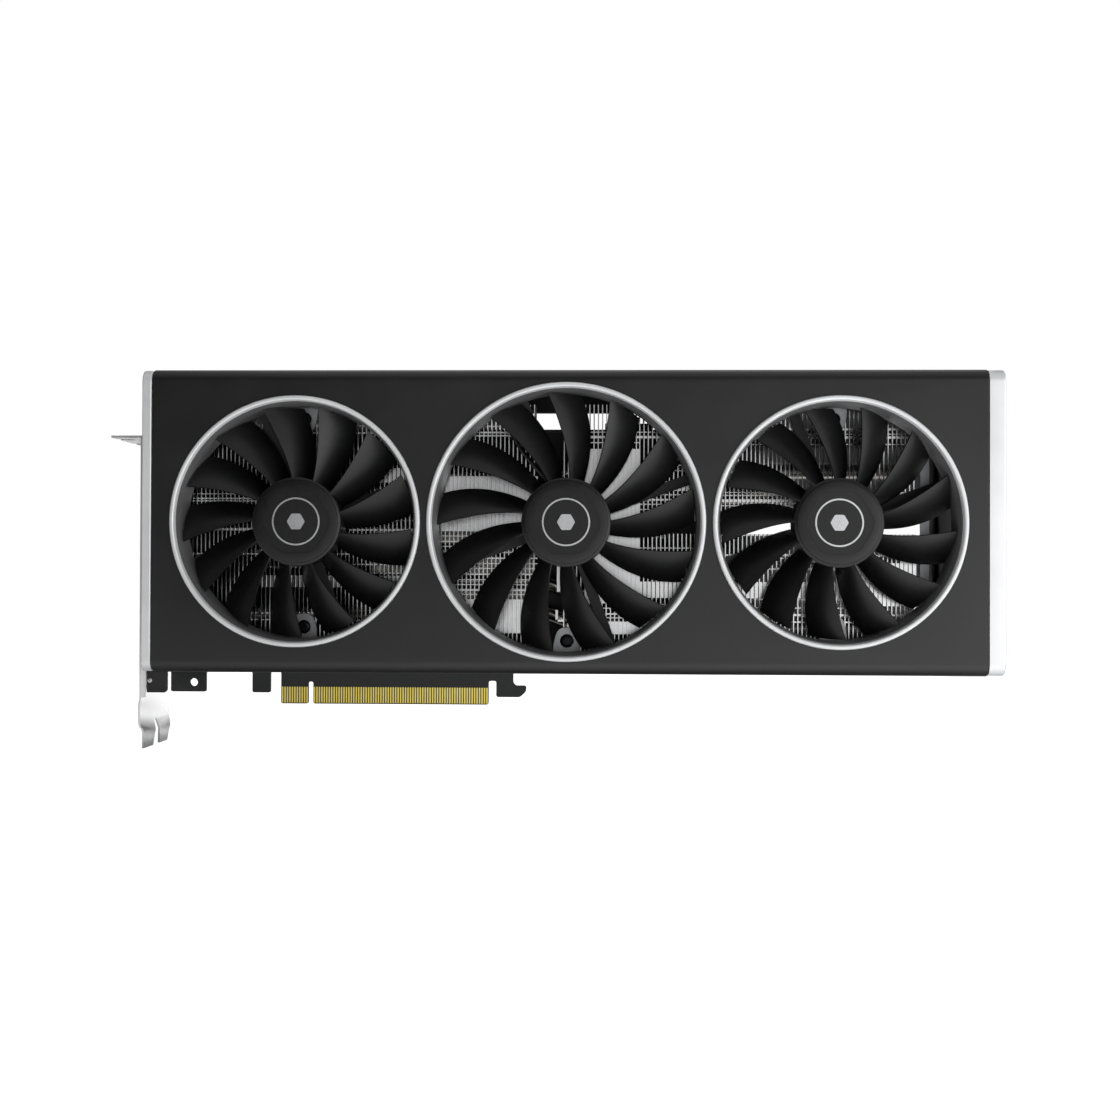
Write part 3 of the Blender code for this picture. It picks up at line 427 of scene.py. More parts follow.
def make_pipe(name, route, radius, look, sides=20, end_steps=4):
    """Round pipe along a route in mm, with its ends drawn in and closed."""
    bm = bmesh.new()
    end_angles = [pi / 2 * (step + 0.3) / end_steps for step in range(end_steps)]
    stations = [(radius * sin(angle), radius * (1 - sin(angle))) for angle in end_angles]
    rings = []
    count = len(route)
    for i, point in enumerate(route):
        ahead = (route[min(i + 1, count - 1)] - route[max(i - 1, 0)]).normalized()
        side = ahead.cross(Vector((0, 1, 0))).normalized()
        up = side.cross(ahead)
        caps = [(0.0, radius)]
        if i == 0:
            caps = [(-depth, r) for r, depth in stations] + caps
        elif i == count - 1:
            caps = caps + [(depth, r) for r, depth in reversed(stations)]
        for along, r in caps:
            rings.append([bm.verts.new(point + ahead * along + side * r * cos(2 * pi * k / sides)
                                       + up * r * sin(2 * pi * k / sides)) for k in range(sides)])
    for here, there in zip(rings, rings[1:]):
        for k in range(sides):
            bm.faces.new((here[k], here[(k + 1) % sides], there[(k + 1) % sides], there[k]))
    bm.faces.new(rings[0])
    bm.faces.new(rings[-1])
    return make_piece(name, bm, look, smooth=50)


for number, (left_z, right_z) in enumerate(PIPE_HEIGHTS, 1):
    route = [Vector((x, PIPE_Y, left_z)) for x in (PIPE_LEFT + 2, -20, 30)]
    for step in range(17):
        t = step / 16
        route.append(Vector((BEND_START + (BEND_END - BEND_START) * t, PIPE_Y,
                             left_z + (right_z - left_z) * t * t * (3 - 2 * t))))
    route += [Vector((x, PIPE_Y, right_z)) for x in (120, PIPE_RIGHT - 2)]
    heat_pipe = make_pipe("heat_pipe_%d" % number, route, PIPE_RADIUS, nickel)
    fit(heat_pipe, "card", "pipe_nickel", "heatpipe_%d" % number)


# ---- Fin stacks ----
# Two stacks of thin aluminium sheets at 1.63 mm pitch, stamped and slid on the pipes. Each sheet has tabs
# folded over to the next one at its front edge: narrow ones lock the stack, and tall ones close it off.
# The right stack is split in two by a level slot.
FIN_PITCH = 1.63
FIN_THICKNESS = 0.36
FIN_Y = (-29.0, -14.0)
TAB_Y = (-28.75, -28.5)
FIN_BOTTOM, FIN_TOP = 18.4, 118.0
SLOT_BOTTOM, SLOT_TOP = 68.4, 73.2
LOCK_ROWS = ((109.5, 110.2), (106.8, 107.4), (102.6, 103.0), (81.4, 81.9), (80.5, 80.9), (59.9, 60.5),
             (37.1, 37.7), (34.6, 35.0))
# Part of a stack: first X, last X, the gap from a tab to the next sheet, its tall tabs, its narrow tabs
LEFT_ZONES = ((-79.0, -44.0, 0.2, (), LOCK_ROWS + ((83.3, 83.6), (69.3, 70.2))),
              (-44.0, -10.0, 0.35, ((47.4, 51.9),), LOCK_ROWS + ((112.0, 112.6), (55.0, 55.3))),
              (-10.0, 2.0, 0.35, ((45.6, 51.9),), ((109.5, 110.2), (106.8, 107.4), (69.3, 69.9), (56.0, 56.5),
               (52.7, 53.1), (34.6, 35.0))),
              (2.0, 24.0, 0.4, ((88.0, 93.5), (47.0, 51.9)), ((109.5, 110.2), (106.8, 107.4), (69.3, 69.9),
               (56.0, 56.5), (52.7, 53.1), (39.5, 40.1), (34.6, 35.0))),
              (24.0, 62.5, 0.12, ((69.2, 90.4), (30.0, 43.0)),
               ((109.4, 109.9), (107.0, 107.6), (105.8, 106.3), (67.2, 67.5), (65.0, 65.5), (63.2, 63.5),
                (61.0, 61.3), (58.6, 59.1), (56.6, 56.9), (54.7, 55.0), (52.4, 52.9), (50.4, 50.7),
                (48.5, 48.8), (46.3, 46.8), (44.7, 45.0))))
UPPER_ZONES = ((73.0, 81.15, 0.4, (), ((107.3, 107.6), (105.1, 106.0))),
               (81.15, 102.0, 0.06, ((73.6, 101.0),), ((107.3, 107.6), (105.1, 106.0), (103.2, 103.6))),
               (102.0, 130.0, 0.3, ((84.9, 88.6),), ((107.3, 107.6), (105.1, 106.0), (83.3, 83.6),
                (81.2, 81.8), (79.6, 79.9), (77.6, 77.9), (75.4, 75.7))),
               (130.0, 208.7, 0.25, (), ((108.2, 109.0), (106.6, 106.9), (105.0, 105.9), (102.6, 103.0),
                (84.2, 84.5), (83.0, 83.3), (80.7, 81.7), (79.1, 79.4))))
LOWER_ZONES = ((73.0, 81.15, 0.4, (), ((39.6, 39.9), (37.3, 37.8))),
               (81.15, 102.0, 0.06, ((41.6, 68.0), (29.8, 34.6)), ((39.6, 39.9), (37.3, 37.8), (35.9, 36.2))),
               (102.0, 130.0, 0.3, ((43.8, 50.0), (29.8, 34.6)), ((62.8, 63.1), (41.0, 41.4), (37.2, 37.8))),
               (130.0, 182.0, 0.3, ((43.8, 50.0),), ((67.7, 68.3), (60.0, 60.6), (58.9, 59.2), (39.9, 40.3),
                (37.2, 37.8), (34.5, 35.0))),
               (182.0, 208.7, 0.3, ((41.0, 57.4),), ((67.7, 68.3), (60.0, 60.5), (37.2, 37.8), (34.5, 35.0))))
# Rolled aluminium sheet: bright, with fine lines up and down the sheet from the rolling mill
fin_metal = surface("aluminium_sheet_rolled", "#DCDDDE", "#EFEFF0", 0.24, 0.5, 0.003, metallic=1.0,
                    stretch=(1, 1, 0.08))


def make_stack(name, zones, bottom, top, node):
    """Stack of sheets with their tabs, one row of sheets for each zone."""
    parts = []
    for first, last, gap, tall, narrow in zones:
        count = round((last - first) / FIN_PITCH)
        bm = bmesh.new()
        add_block(bm, (first, FIN_Y[0], bottom), (first + FIN_THICKNESS, FIN_Y[1], top))
        tab_start, tab_end = first + FIN_THICKNESS * 0.8, first + FIN_PITCH - gap
        for low, high in (*tall, *narrow):
            add_block(bm, (tab_start, TAB_Y[0], low), (tab_end, TAB_Y[1], high))
        part = make_piece(name, bm, fin_metal)
        parts.append(grow(part, row_tree, Count=count, Step=(FIN_PITCH / 1000, 0, 0), Finish=fin_metal))
    return fit(join(name, parts), "card", "fin_aluminium", node)


make_stack("fin_stack_left", LEFT_ZONES, FIN_BOTTOM, FIN_TOP, "fins_left")
make_stack("fin_stack_right_upper", UPPER_ZONES, SLOT_TOP, FIN_TOP, "fins_right_upper")
make_stack("fin_stack_right_lower", LOWER_ZONES, FIN_BOTTOM, SLOT_BOTTOM, "fins_right_lower")

# End plate: the last sheet of the right stack is folded back on itself beside two black stiffening ribs, and
# the first sheet has three clips folded out into the gap between the stacks
END_LEFT, END_RIGHT, END_BOTTOM, END_TOP = 209.4, 213.0, 49.0, 99.0
RIB_STARTS, RIB_WIDTH, RIB_BACK = (214.2, 216.2), 0.8, -18.0
# Clips: left, bottom, right and top of each straight piece
CLIPS = ((70.5, 46.0, 71.8, 56.0), (70.0, 34.5, 73.1, 35.3), (70.0, 34.5, 70.9, 39.0),
         (71.7, 46.0, 73.1, 46.5), (71.7, 55.5, 73.1, 56.0))
# The same sheet, duller and less metallic: painted light, so that the end plate shows grey though the blades
# and ring shade it
end_plate_painted_light = surface("aluminium_sheet_painted_light", "#A6A8AA", "#B4B6B8", 0.4, 0.5, 0.006, metallic=0.6,
                     stretch=(1, 1, 0.08))
bm = bmesh.new()
add_block(bm, (END_LEFT, -27.6, END_BOTTOM), (END_RIGHT, -27.0, END_TOP))
add_block(bm, (END_LEFT, -27.2, END_BOTTOM), (END_LEFT + 0.4, -16.0, SLOT_BOTTOM - 0.8))
add_block(bm, (END_LEFT, -27.2, SLOT_TOP + 0.8), (END_LEFT + 0.4, -16.0, END_TOP))
fit(ease_edges(make_piece("stack_end_plate", bm, end_plate_painted_light), 0.12, segments=1), "card", "fin_aluminium")
bm = bmesh.new()
for x in RIB_STARTS:
    add_block(bm, (x, -27.4, END_BOTTOM - 2), (x + RIB_WIDTH, RIB_BACK, END_TOP + 2))
add_block(bm, (213.6, RIB_BACK - 1, END_BOTTOM - 2), (218.0, RIB_BACK, END_TOP + 2))
fit(ease_edges(make_piece("end_ribs", bm, powder_black), 0.15, segments=1), "card", "black_metal")
bm = bmesh.new()
for left, bottom, right, top in CLIPS:
    add_slab(bm, rectangle(left, bottom, right, top), *TAB_Y)
fit(make_piece("stack_clips", bm, fin_metal), "card", "fin_aluminium")

# Mounting ears: stamped aluminium tongues in front of the fins above and below each fan, which the shroud's
# screws go into. They are tumbled, so they are grey and dull beside the fins.
FAN_Z = 72.2
FANS = (("left", -27.1, 47.1), ("middle", 74.4, 52.05), ("right", 176.0, 47.1))
EAR_INSET, EAR_HALF, EAR_TIP_HALF, EAR_HOLE_RADIUS = 7.0, 5.2, 3.6, 2.6
tumbled = surface("aluminium_tumbled", "#A8A9AB", "#BCBDBF", 0.5, 0.35, 0.02, metallic=1.0)
# Black-oxide screw steel: dark with a greasy sheen
black_screw = surface("black_oxide_steel", "#1D1D1F", "#2B2B2D", 0.35, 0.4, 0.004, metallic=0.9)


def add_pan_head(bm, radius, height):
    """Low pan head about the Y axis with its top towards -Y."""
    add_turned(bm, [(0, 0), (radius, 0), (radius, -height * 0.45), (radius * 0.86, -height * 0.85),
                    (radius * 0.6, -height), (0, -height)], 28, closed=False)


def make_screw(name, radius, height, look):
    """Pan head screw with a cross recess."""
    bm = bmesh.new()
    add_pan_head(bm, radius, height)
    screw = make_piece(name, bm, look)
    recess = bmesh.new()
    arm, half = radius * 0.55, radius * 0.13
    cross = [(arm, half), (half, half), (half, arm), (-half, arm), (-half, half), (-arm, half),
             (-arm, -half), (-half, -half), (-half, -arm), (half, -arm), (half, -half), (arm, -half)]
    add_slab(recess, cross, -height - 1, -height * 0.35)
    return cut(screw, recess)


# Screws: a copy of the screw at each point, all turned alike
screws_tree, given = new_tree("screws", {"Screw": "Object", "Turn": "Rotation"})
screw_shape = add_node(screws_tree, "GeometryNodeObjectInfo", {"Object": given["Screw"]})
copies = add_node(screws_tree, "GeometryNodeInstanceOnPoints", {"Points": given["Geometry"],
                  "Instance": screw_shape.outputs["Geometry"], "Rotation": given["Turn"]})
close_tree(screws_tree, given, copies.outputs[0])


def set_screws(name, places, turn, screw, finish):
    """Screws at places in mm, turned in radians about X, Y and Z from facing the fans' side."""
    bm = bmesh.new()
    for place in places:
        bm.verts.new(place)
    look = screw.data.materials[0]
    piece = grow(make_piece(name, bm, look), screws_tree, Screw=screw, Turn=turn, Finish=look)
    return fit(piece, "card", finish)


ears, ear_holes, ear_places = bmesh.new(), bmesh.new(), []
for _, x, radius in FANS:
    for side in (-1, 1):
        z = FAN_Z + side * (radius - EAR_INSET)
        if z + EAR_HALF > FIN_TOP:
            continue
        outer_z, inner_z, waist_z = z + side * EAR_HALF, z - side * EAR_HALF, z + side * 1.5
        outline = [(x - EAR_HALF, outer_z), (x + EAR_HALF, outer_z), (x + EAR_HALF, waist_z),
                   (x + EAR_TIP_HALF, inner_z), (x - EAR_TIP_HALF, inner_z), (x - EAR_HALF, waist_z)]
        add_slab(ears, round_corners(outline, 3.2, 4), FIN_Y[0] - 1.4, FIN_Y[0] - 0.1)
        hole(ear_holes, (x, z), EAR_HOLE_RADIUS, FIN_Y[0] - 4, FIN_Y[0] + 4)
        ear_places.append((x, FIN_Y[0] - 0.4, z))
mounting_ears = cut(make_piece("mounting_ears", ears, tumbled), ear_holes)
fit(ease_edges(mounting_ears, 0.15), "card", "fin_aluminium")
small_screw = make_screw("small_screw", 2.5, 0.9, black_screw)
set_screws("ear_screws", ear_places, (0, 0, 0), small_screw, "black_metal")


# ---- Fans ----
# Three fans pressed into the shroud's ducts. Each has a motor base on four struts, a nine-pole stator, a
# steel shaft, and a rotor of 13 swept blades moulded in one with its hub cup.
DUCT_INSET, TIP_CLEARANCE = 3.0, 0.6
HUB_RADIUS, HUB_FRONT, HUB_BACK, HUB_WALL, HUB_FLOOR = 16.8, -46.0, -34.2, 2.9, 1.8
BLADE_COUNT, BLADE_FRONT, BLADE_DEPTH = 13, -45.4, 10.6
# Degrees at each fan: where a leading edge starts at the hub, how far it sweeps to the tip, how wide a blade
# is at the hub, and how far its trailing edge sweeps
BLADE_ANGLES = {
    "left": (39.5, 12.0, 19.0, 13.0),
    "middle": (56.0, 14.3, 16.4, 16.0),
    "right": (94.4, 12.5, 18.5, 15.0),
}
# Glass-filled PBT: near black, semi-gloss, with faint flow marks along the blade
blade_black = surface("pbt_glass_filled_blade", "#0F0F10", "#161617", 0.42, 1.2, 0.006)
blade_black.node_tree.nodes["Principled BSDF"].inputs["Specular IOR Level"].default_value = 0.4
# The same plastic as the motor base comes from the mould: duller
base_black = surface("pbt_moulded_base", "#101011", "#19191A", 0.55, 0.5, 0.01)
# Enamelled copper wire: the 0.2 mm turns are drawn 0.5 mm apart so that they show as bands
winding = surface("enamelled_copper_wire", "#8A3F1E", "#B8622F", 0.28, 0.5, 0.08, metallic=0.9,
                  stretch=(0.2, 1, 0.2))
# Ground steel: bright, with rings from the grinding wheel
ground_steel = surface("ground_shaft_steel", "#A9ABAD", "#C4C6C8", 0.18, 0.4, 0.002, metallic=1.0,
                       stretch=(0.2, 1, 0.2))
# PVC wire cover: soft black
pvc = surface("pvc_wire_cover", "#0E0E0F", "#171718", 0.45, 0.8, 0.01)


def blade_point(span, chord, tip, angles):
    """Point on a blade's front face: span runs from root to tip, chord from leading to trailing edge."""
    _, lead_sweep, root_width, trail_sweep = angles
    root = HUB_RADIUS - 0.9
    r = root + (tip - root) * span
    lead = lead_sweep * span + 0.8 * sin(pi * span)
    trail = -root_width + trail_sweep * (0.6 * span + 0.4 * span * span)
    angle = radians(lead + (trail - lead) * chord)
    y = BLADE_FRONT + BLADE_DEPTH * (0.5 * chord + 0.5 * chord * chord)
    return Vector((r * cos(angle), y, r * sin(angle)))


def add_blade(bm, tip, angles, spans=12, chords=9):
    """Swept blade, thick in the middle of its chord and thin at its edges."""
    front, back = [], []
    for i in range(spans + 1):
        front.append([])
        back.append([])
        for j in range(chords + 1):
            span, chord = i / spans, j / chords
            here = blade_point(span, chord, tip, angles)
            ahead, behind = (blade_point(span, chord + step, tip, angles) for step in (0.01, -0.01))
            along = ahead - behind
            beyond, within = (blade_point(span + step, chord, tip, angles) for step in (0.01, -0.01))
            out = beyond - within
            normal = out.cross(along).normalized()
            if normal.y < 0:
                normal = -normal
            thickness = 0.45 + 0.75 * sin(pi * min(1.0, chord * 0.85 + 0.1))
            front[-1].append(bm.verts.new(here))
            back[-1].append(bm.verts.new(here + normal * thickness))
    for i in range(spans):
        for j in range(chords):
            bm.faces.new((front[i][j], front[i][j + 1], front[i + 1][j + 1], front[i + 1][j]))
            bm.faces.new((back[i][j], back[i + 1][j], back[i + 1][j + 1], back[i][j + 1]))
        for j in (0, chords):
            bm.faces.new((front[i][j], front[i + 1][j], back[i + 1][j], back[i][j]))
    for i in (0, spans):
        for j in range(chords):
            bm.faces.new((front[i][j], front[i][j + 1], back[i][j + 1], back[i][j]))


# Blade ring: copies of one blade turned evenly about the fan's axis, then moved to the fan's centre
blades_tree, given = new_tree("blade_ring", {"Count": "Int", "First": "Float", "Centre": "Vector"})
points = add_node(blades_tree, "GeometryNodeMeshLine", {"Count": given["Count"], "Offset": (0, 0, 0)})
number = add_node(blades_tree, "GeometryNodeInputIndex").outputs[0]
turns = add_node(blades_tree, "ShaderNodeMath", {0: number, 1: given["Count"]}, operation="DIVIDE")
angle = add_node(blades_tree, "ShaderNodeMath", {0: turns.outputs[0], 1: -2 * pi, 2: given["First"]},
                 operation="MULTIPLY_ADD")
about_y = add_node(blades_tree, "ShaderNodeCombineXYZ", {"Y": angle.outputs[0]})
copies = add_node(blades_tree, "GeometryNodeInstanceOnPoints", {"Points": points.outputs[0],
                  "Instance": given["Geometry"], "Rotation": about_y.outputs[0]})
moved = add_node(blades_tree, "GeometryNodeTransform", {"Geometry": copies.outputs[0],
                 "Translation": given["Centre"]})
close_tree(blades_tree, given, moved.outputs[0])

# Badge: a plain ring and a small hexagon of bright foil let into the hub's face
foil = surface("aluminium_foil_badge", "#C2C3C5", "#DCDDDE", 0.3, 0.4, 0.001, metallic=0.8)
HEXAGON_RADIUS, GROOVE_WIDTH, BADGE_RADIUS, BADGE_WIDTH = 13.6, 0.22, 8.4, 0.6


def hexagon(radius, centre):
    """Corners of a hexagon with one corner towards +X."""
    return [(centre[0] + radius * cos(pi * k / 3), centre[1] + radius * sin(pi * k / 3)) for k in range(6)]


for side, x, radius in FANS:
    fan = "fan_" + side
    centre = (x, FAN_Z)
    angles = BLADE_ANGLES[side]
    bm = bmesh.new()
    add_blade(bm, radius - DUCT_INSET - TIP_CLEARANCE, angles)
    blades = make_piece("blades", bm, blade_black, smooth=50)
    grow(blades, blades_tree, Count=BLADE_COUNT, First=-radians(angles[0]),
         Centre=(x / 1000, 0, FAN_Z / 1000), Finish=blade_black)
    bm = bmesh.new()
    wall = HUB_RADIUS - HUB_WALL
    # The rim steps down in a narrow shoulder round the flat face
    add_turned(bm, [(0, HUB_FRONT), (15.2, HUB_FRONT), (15.5, HUB_FRONT + 0.1), (15.7, HUB_FRONT + 0.4),
                    (16.2, HUB_FRONT + 0.55), (16.65, HUB_FRONT + 0.9), (HUB_RADIUS, HUB_FRONT + 1.4),
                    (HUB_RADIUS, HUB_BACK), (wall, HUB_BACK), (wall, HUB_FRONT + HUB_FLOOR),
                    (0, HUB_FRONT + HUB_FLOOR)], 96, centre, closed=False)
    hub = make_piece("hub", bm, blade_black)
    # A fine six-sided line is cut round the face
    groove = bmesh.new()
    corners = []
    for y, size in ((HUB_FRONT - 1, HEXAGON_RADIUS), (HUB_FRONT - 1, HEXAGON_RADIUS - GROOVE_WIDTH),
                    (HUB_FRONT + 0.15, HEXAGON_RADIUS - GROOVE_WIDTH), (HUB_FRONT + 0.15, HEXAGON_RADIUS)):
        corners.append([groove.verts.new((p[0], y, p[1])) for p in round_corners(hexagon(size, centre), 4.0)])
    for here, there in zip(corners, corners[1:] + corners[:1]):
        for k in range(len(here)):
            j = (k + 1) % len(here)
            groove.faces.new((here[k], here[j], there[j], there[k]))
    cut(hub, groove)
    rotor = join("rotor_%s_moulding" % side, [blades, hub])
    fit(rotor, fan, "fan_black", "rotor_" + side)
    bm = bmesh.new()
    front, back = HUB_FRONT - 0.06, HUB_FRONT + 0.05
    edge = BADGE_RADIUS + BADGE_WIDTH
    add_turned(bm, [(BADGE_RADIUS, back), (BADGE_RADIUS, front), (edge, front), (edge, back)], 96, centre)
    add_slab(bm, round_corners(hexagon(3.4, centre), 0.5, 3), front, back)
    fit(make_piece("badge_" + side, bm, foil), fan, "silver_trim")
    for node, look, width, body, finish in (("fan_frame_" + side, base_black, 0.25, "card", "shroud_black"),
                                            ("stator_" + side, winding, 0.3, "card", "copper"),
                                            ("shaft_" + side, ground_steel, 0.1, fan, "steel")):
        fit(eased_copy(node, look, width), body, finish, node)
    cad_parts["fan_cable_" + side].material_slots[0].material = pvc


# ---- Shroud ----
# The black channel over the cooler, injection-moulded in PC-ABS with a fine spark-eroded grain and soft long
# edges. It has a round opening for each fan and is screwed to the mounting ears.
BODY_LEFT, BODY_RIGHT, BODY_BOTTOM, BODY_TOP = -84.9, 236.9, 15.4, 129.3
FACE_Y, SHROUD_BACK = -48.5, -17.0
EDGE_RADIUS, SHROUD_WALL, GAP = 4.5, 2.2, 0.3
TRIM_LEFT, TRIM_RIGHT, TRIM_WALL = 3.7, 6.3, 3.0
RING_LIP, RING_FRONT, RING_BACK = 1.2, -49.8, -33.0
LIP_WIDTH, LIP_DEPTH = 1.9, 2.2
# Spark-eroded grain is 0.1 mm; it is drawn at 0.35 mm so that it breaks the highlights softly
shroud_black = surface("pc_abs_spark_eroded", "#0F0F10", "#151515", 0.42, 0.35, 0.01)


def channel(wall, drop=0.0, steps=10):
    """Channel section in (y, z), as outer and inner runs: a front wall, round corners and two side walls."""
    outer, inner = [], []
    for edge, sign in ((BODY_TOP - drop, 1), (BODY_BOTTOM + drop, -1)):
        middle_y, middle_z = FACE_Y + EDGE_RADIUS, edge - sign * EDGE_RADIUS
        arcs = []
        for r in (EDGE_RADIUS, EDGE_RADIUS - wall):
            arc = [(middle_y - r * sin(pi / 2 * i / steps), middle_z + sign * r * cos(pi / 2 * i / steps))
                   for i in range(steps + 1)]
            arcs.append(arc if sign > 0 else arc[::-1])
        outer += arcs[0]
        inner += arcs[1]
    outer = [(SHROUD_BACK, BODY_TOP - drop)] + outer + [(SHROUD_BACK, BODY_BOTTOM + drop)]
    inner = [(SHROUD_BACK, BODY_TOP - drop - wall)] + inner + [(SHROUD_BACK, BODY_BOTTOM + drop + wall)]
    return outer, inner


outer, inner = channel(SHROUD_WALL)
bm = bmesh.new()
add_slab(bm, outer + inner[::-1], BODY_LEFT + TRIM_LEFT + 0.12, BODY_RIGHT - TRIM_RIGHT - 0.12, "X")
shroud = make_piece("shroud_channel", bm, shroud_black)
openings = bmesh.new()
for _, x, radius in FANS:
    hole(openings, (x, FAN_Z), radius - RING_LIP + GAP, FACE_Y - 4, FACE_Y + 8, 128)
cut(shroud, openings)
fit(ease_edges(shroud, 0.35, segments=3), "card", "shroud_black", "shroud")

# Bezel rings: mouldings in silver spray paint, clipped into the openings from the front. The lip is nearly
# flat with round edges; the duct behind it is smooth dark grey and tapers in towards the blades.
# Smooth mould face: dark grey with a broad soft sheen at a slant
duct_grey = surface("pc_abs_smooth_duct", "#545455", "#5C5C5D", 0.46, 1.0, 0.0008)
# Metallic paint on plastic: fine flakes under a thin clear coat, drawn 0.25 mm across so that they show
silver_paint = surface("silver_metallic_paint", "#D6D7D8", "#E6E7E8", 0.38, 0.25, 0.002, metallic=0.25)
silver_paint.node_tree.nodes["Principled BSDF"].inputs["Coat Weight"].default_value = 0.25
silver_paint.node_tree.nodes["Principled BSDF"].inputs["Coat Roughness"].default_value = 0.12
for side, x, radius in FANS:
    duct, neck = radius - DUCT_INSET, radius - RING_LIP
    lip = [(radius - LIP_WIDTH * t, RING_FRONT + 0.9 * (2 * t - 1) ** 4) for t in [k / 14 for k in range(15)]]
    profile = [(neck, FACE_Y - 0.1), (radius, FACE_Y - 0.1)] + lip + [
        (radius - LIP_WIDTH - 0.15, RING_FRONT + LIP_DEPTH), (neck, RING_FRONT + LIP_DEPTH)]
    bm = bmesh.new()
    add_turned(bm, profile, 160, (x, FAN_Z))
    fit(make_piece("bezel_" + side, bm, silver_paint, smooth=50), "card", "silver_trim", "ring_" + side)
    bm = bmesh.new()
    join_y = RING_FRONT + LIP_DEPTH + 0.05
    profile = [(neck, join_y), (radius - LIP_WIDTH - 0.35, join_y), (duct + 0.15, join_y + 2.5),
               (duct, join_y + 5), (duct, RING_BACK), (neck, RING_BACK)]
    add_turned(bm, profile, 160, (x, FAN_Z))
    fit(make_piece("duct_" + side, bm, duct_grey, smooth=50), "card", "shroud_black")

# End frames: two silver-painted mouldings that clasp the shroud's ends. The left one is an open hoop, and the
# right one closes the end; both stand a hair lower than the shroud.
TRIM_DROP = 0.25


def add_closed_end(bm, section, low, high, inset, steps=5):
    """Solid end block with its outer X edge rounded by an inset in steps."""
    middle = sum((Vector(p) for p in section), Vector((0, 0))) / len(section)
    loops = [[bm.verts.new((low, *p)) for p in section]]
    for angle in [pi / 2 * step / steps for step in range(steps + 1)]:
        shrink, along = inset * (1 - cos(angle)), high - inset + inset * sin(angle)
        loops.append([bm.verts.new((along, p[0] + shrink * (1 if p[0] < middle.x else 0),
                                    p[1] + shrink * (-1 if p[1] > middle.y else 1))) for p in section])
    for here, there in zip(loops, loops[1:]):
        for k in range(len(section)):
            j = (k + 1) % len(section)
            bm.faces.new((here[k], here[j], there[j], there[k]))
    bm.faces.new(loops[0])
    bm.faces.new(loops[-1])


outer, inner = channel(TRIM_WALL, TRIM_DROP)
bm = bmesh.new()
add_slab(bm, outer + inner[::-1], BODY_LEFT, BODY_LEFT + TRIM_LEFT - 0.12, "X")
end_frame = make_piece("end_frame_left", bm, silver_paint)
fit(ease_edges(end_frame, 0.5, segments=3), "card", "silver_trim", "trim_left")
bm = bmesh.new()
add_closed_end(bm, outer, BODY_RIGHT - TRIM_RIGHT + 0.12, BODY_RIGHT, 0.9)
end_frame = make_piece("end_frame_right", bm, silver_paint)
pocket = bmesh.new()
add_block(pocket, (BODY_RIGHT - TRIM_RIGHT - 4, FACE_Y + TRIM_WALL, BODY_BOTTOM + TRIM_WALL),
          (BODY_RIGHT - TRIM_WALL, SHROUD_BACK + 5, BODY_TOP - TRIM_WALL))
cut(end_frame, pocket)
fit(ease_edges(end_frame, 0.3, segments=2), "card", "silver_trim", "trim_right")


# ---- Top bar, backplate and spring leaf ----
# A black angle strip closes the top rear edge. The backplate is stamped aluminium with a powder coat, held by
# six screws, with a window for the far fan's air. A sprung steel cross pulls the cold plate down.
fit(eased_copy("top_bar", powder_black, 0.4), "card", "black_metal", "top_bar")
fit(eased_copy("backplate", powder_black, 0.3), "card", "black_metal", "backplate")
fit(eased_copy("spring_plate", zinc_steel, 0.25), "card", "steel", "spring_plate")
for number in range(1, 5):
    node = "spring_screw_%d" % number
    fit(eased_copy(node, zinc_steel, 0.15), "card", "steel", node)
PLATE_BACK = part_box("backplate")[1].y * 1000
back_screw = make_screw("back_screw", 2.5, 0.9, black_screw)
places = [(x, PLATE_BACK - 0.05, z) for x, z in PLATE_SCREWS]
set_screws("backplate_screws", places, (0, 0, pi), back_screw, "black_metal")


# ---- Slot bracket ----
# One stamped and folded sheet of zinc-plated steel, two slots wide, with the flange that takes the case
# screws, the lip on its near edge and the two tails. The display sockets are pressed steel shells.
# Passivated zinc over the bracket's steel: paler and duller than a rolled sheet
passivated = surface("zinc_passivated_steel", "#F0F0F1", "#FAFAFA", 0.3, 0.5, 0.003, metallic=0.7,
                     stretch=(1, 1, 0.06))
fit(eased_copy("bracket", passivated, 0.2), "card", "steel", "bracket")
fit(eased_copy("bracket_foot", powder_black, 0.3), "card", "black_metal", "bracket_foot")
for number in range(1, 5):
    node = "video_port_%d" % number
    fit(eased_copy(node, zinc_steel, 0.2), "card", "steel", node)
foot_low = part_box("bracket_foot")[0] * 1000
steel_screw = make_screw("steel_screw", 1.0, 0.5, zinc_steel)
set_screws("foot_screw", [(foot_low.x + 1.3, foot_low.y + 0.05, 11.6)], (0, 0, 0), steel_screw, "steel")

for tool in (small_screw, back_screw, steel_screw):
    bpy.data.objects.remove(tool)


# ---- Studio ----
# A pale floor under a white sky, and three large soft lights: at the right in front, above, and high behind.
bm = bmesh.new()
FLOOR_RADIUS, FLOOR_X, FLOOR_DEPTH = 480, 70, 20
turns = [pi * k / 32 for k in range(64)]
add_slab(bm, [(FLOOR_RADIUS * cos(turn), FLOOR_RADIUS * sin(turn)) for turn in turns], -FLOOR_DEPTH, 0, "Z")
bmesh.ops.translate(bm, verts=bm.verts, vec=(FLOOR_X, 0, cad_box[0][2] * 1000 - 0.05))
floor_white = surface("floor_white_painted", "#D2D2D4", "#DCDCDD", 0.9, 30, 0.01)
tree = floor_white.node_tree
tree.nodes["Principled BSDF"].inputs["Emission Color"].default_value = (1, 1, 1, 1)
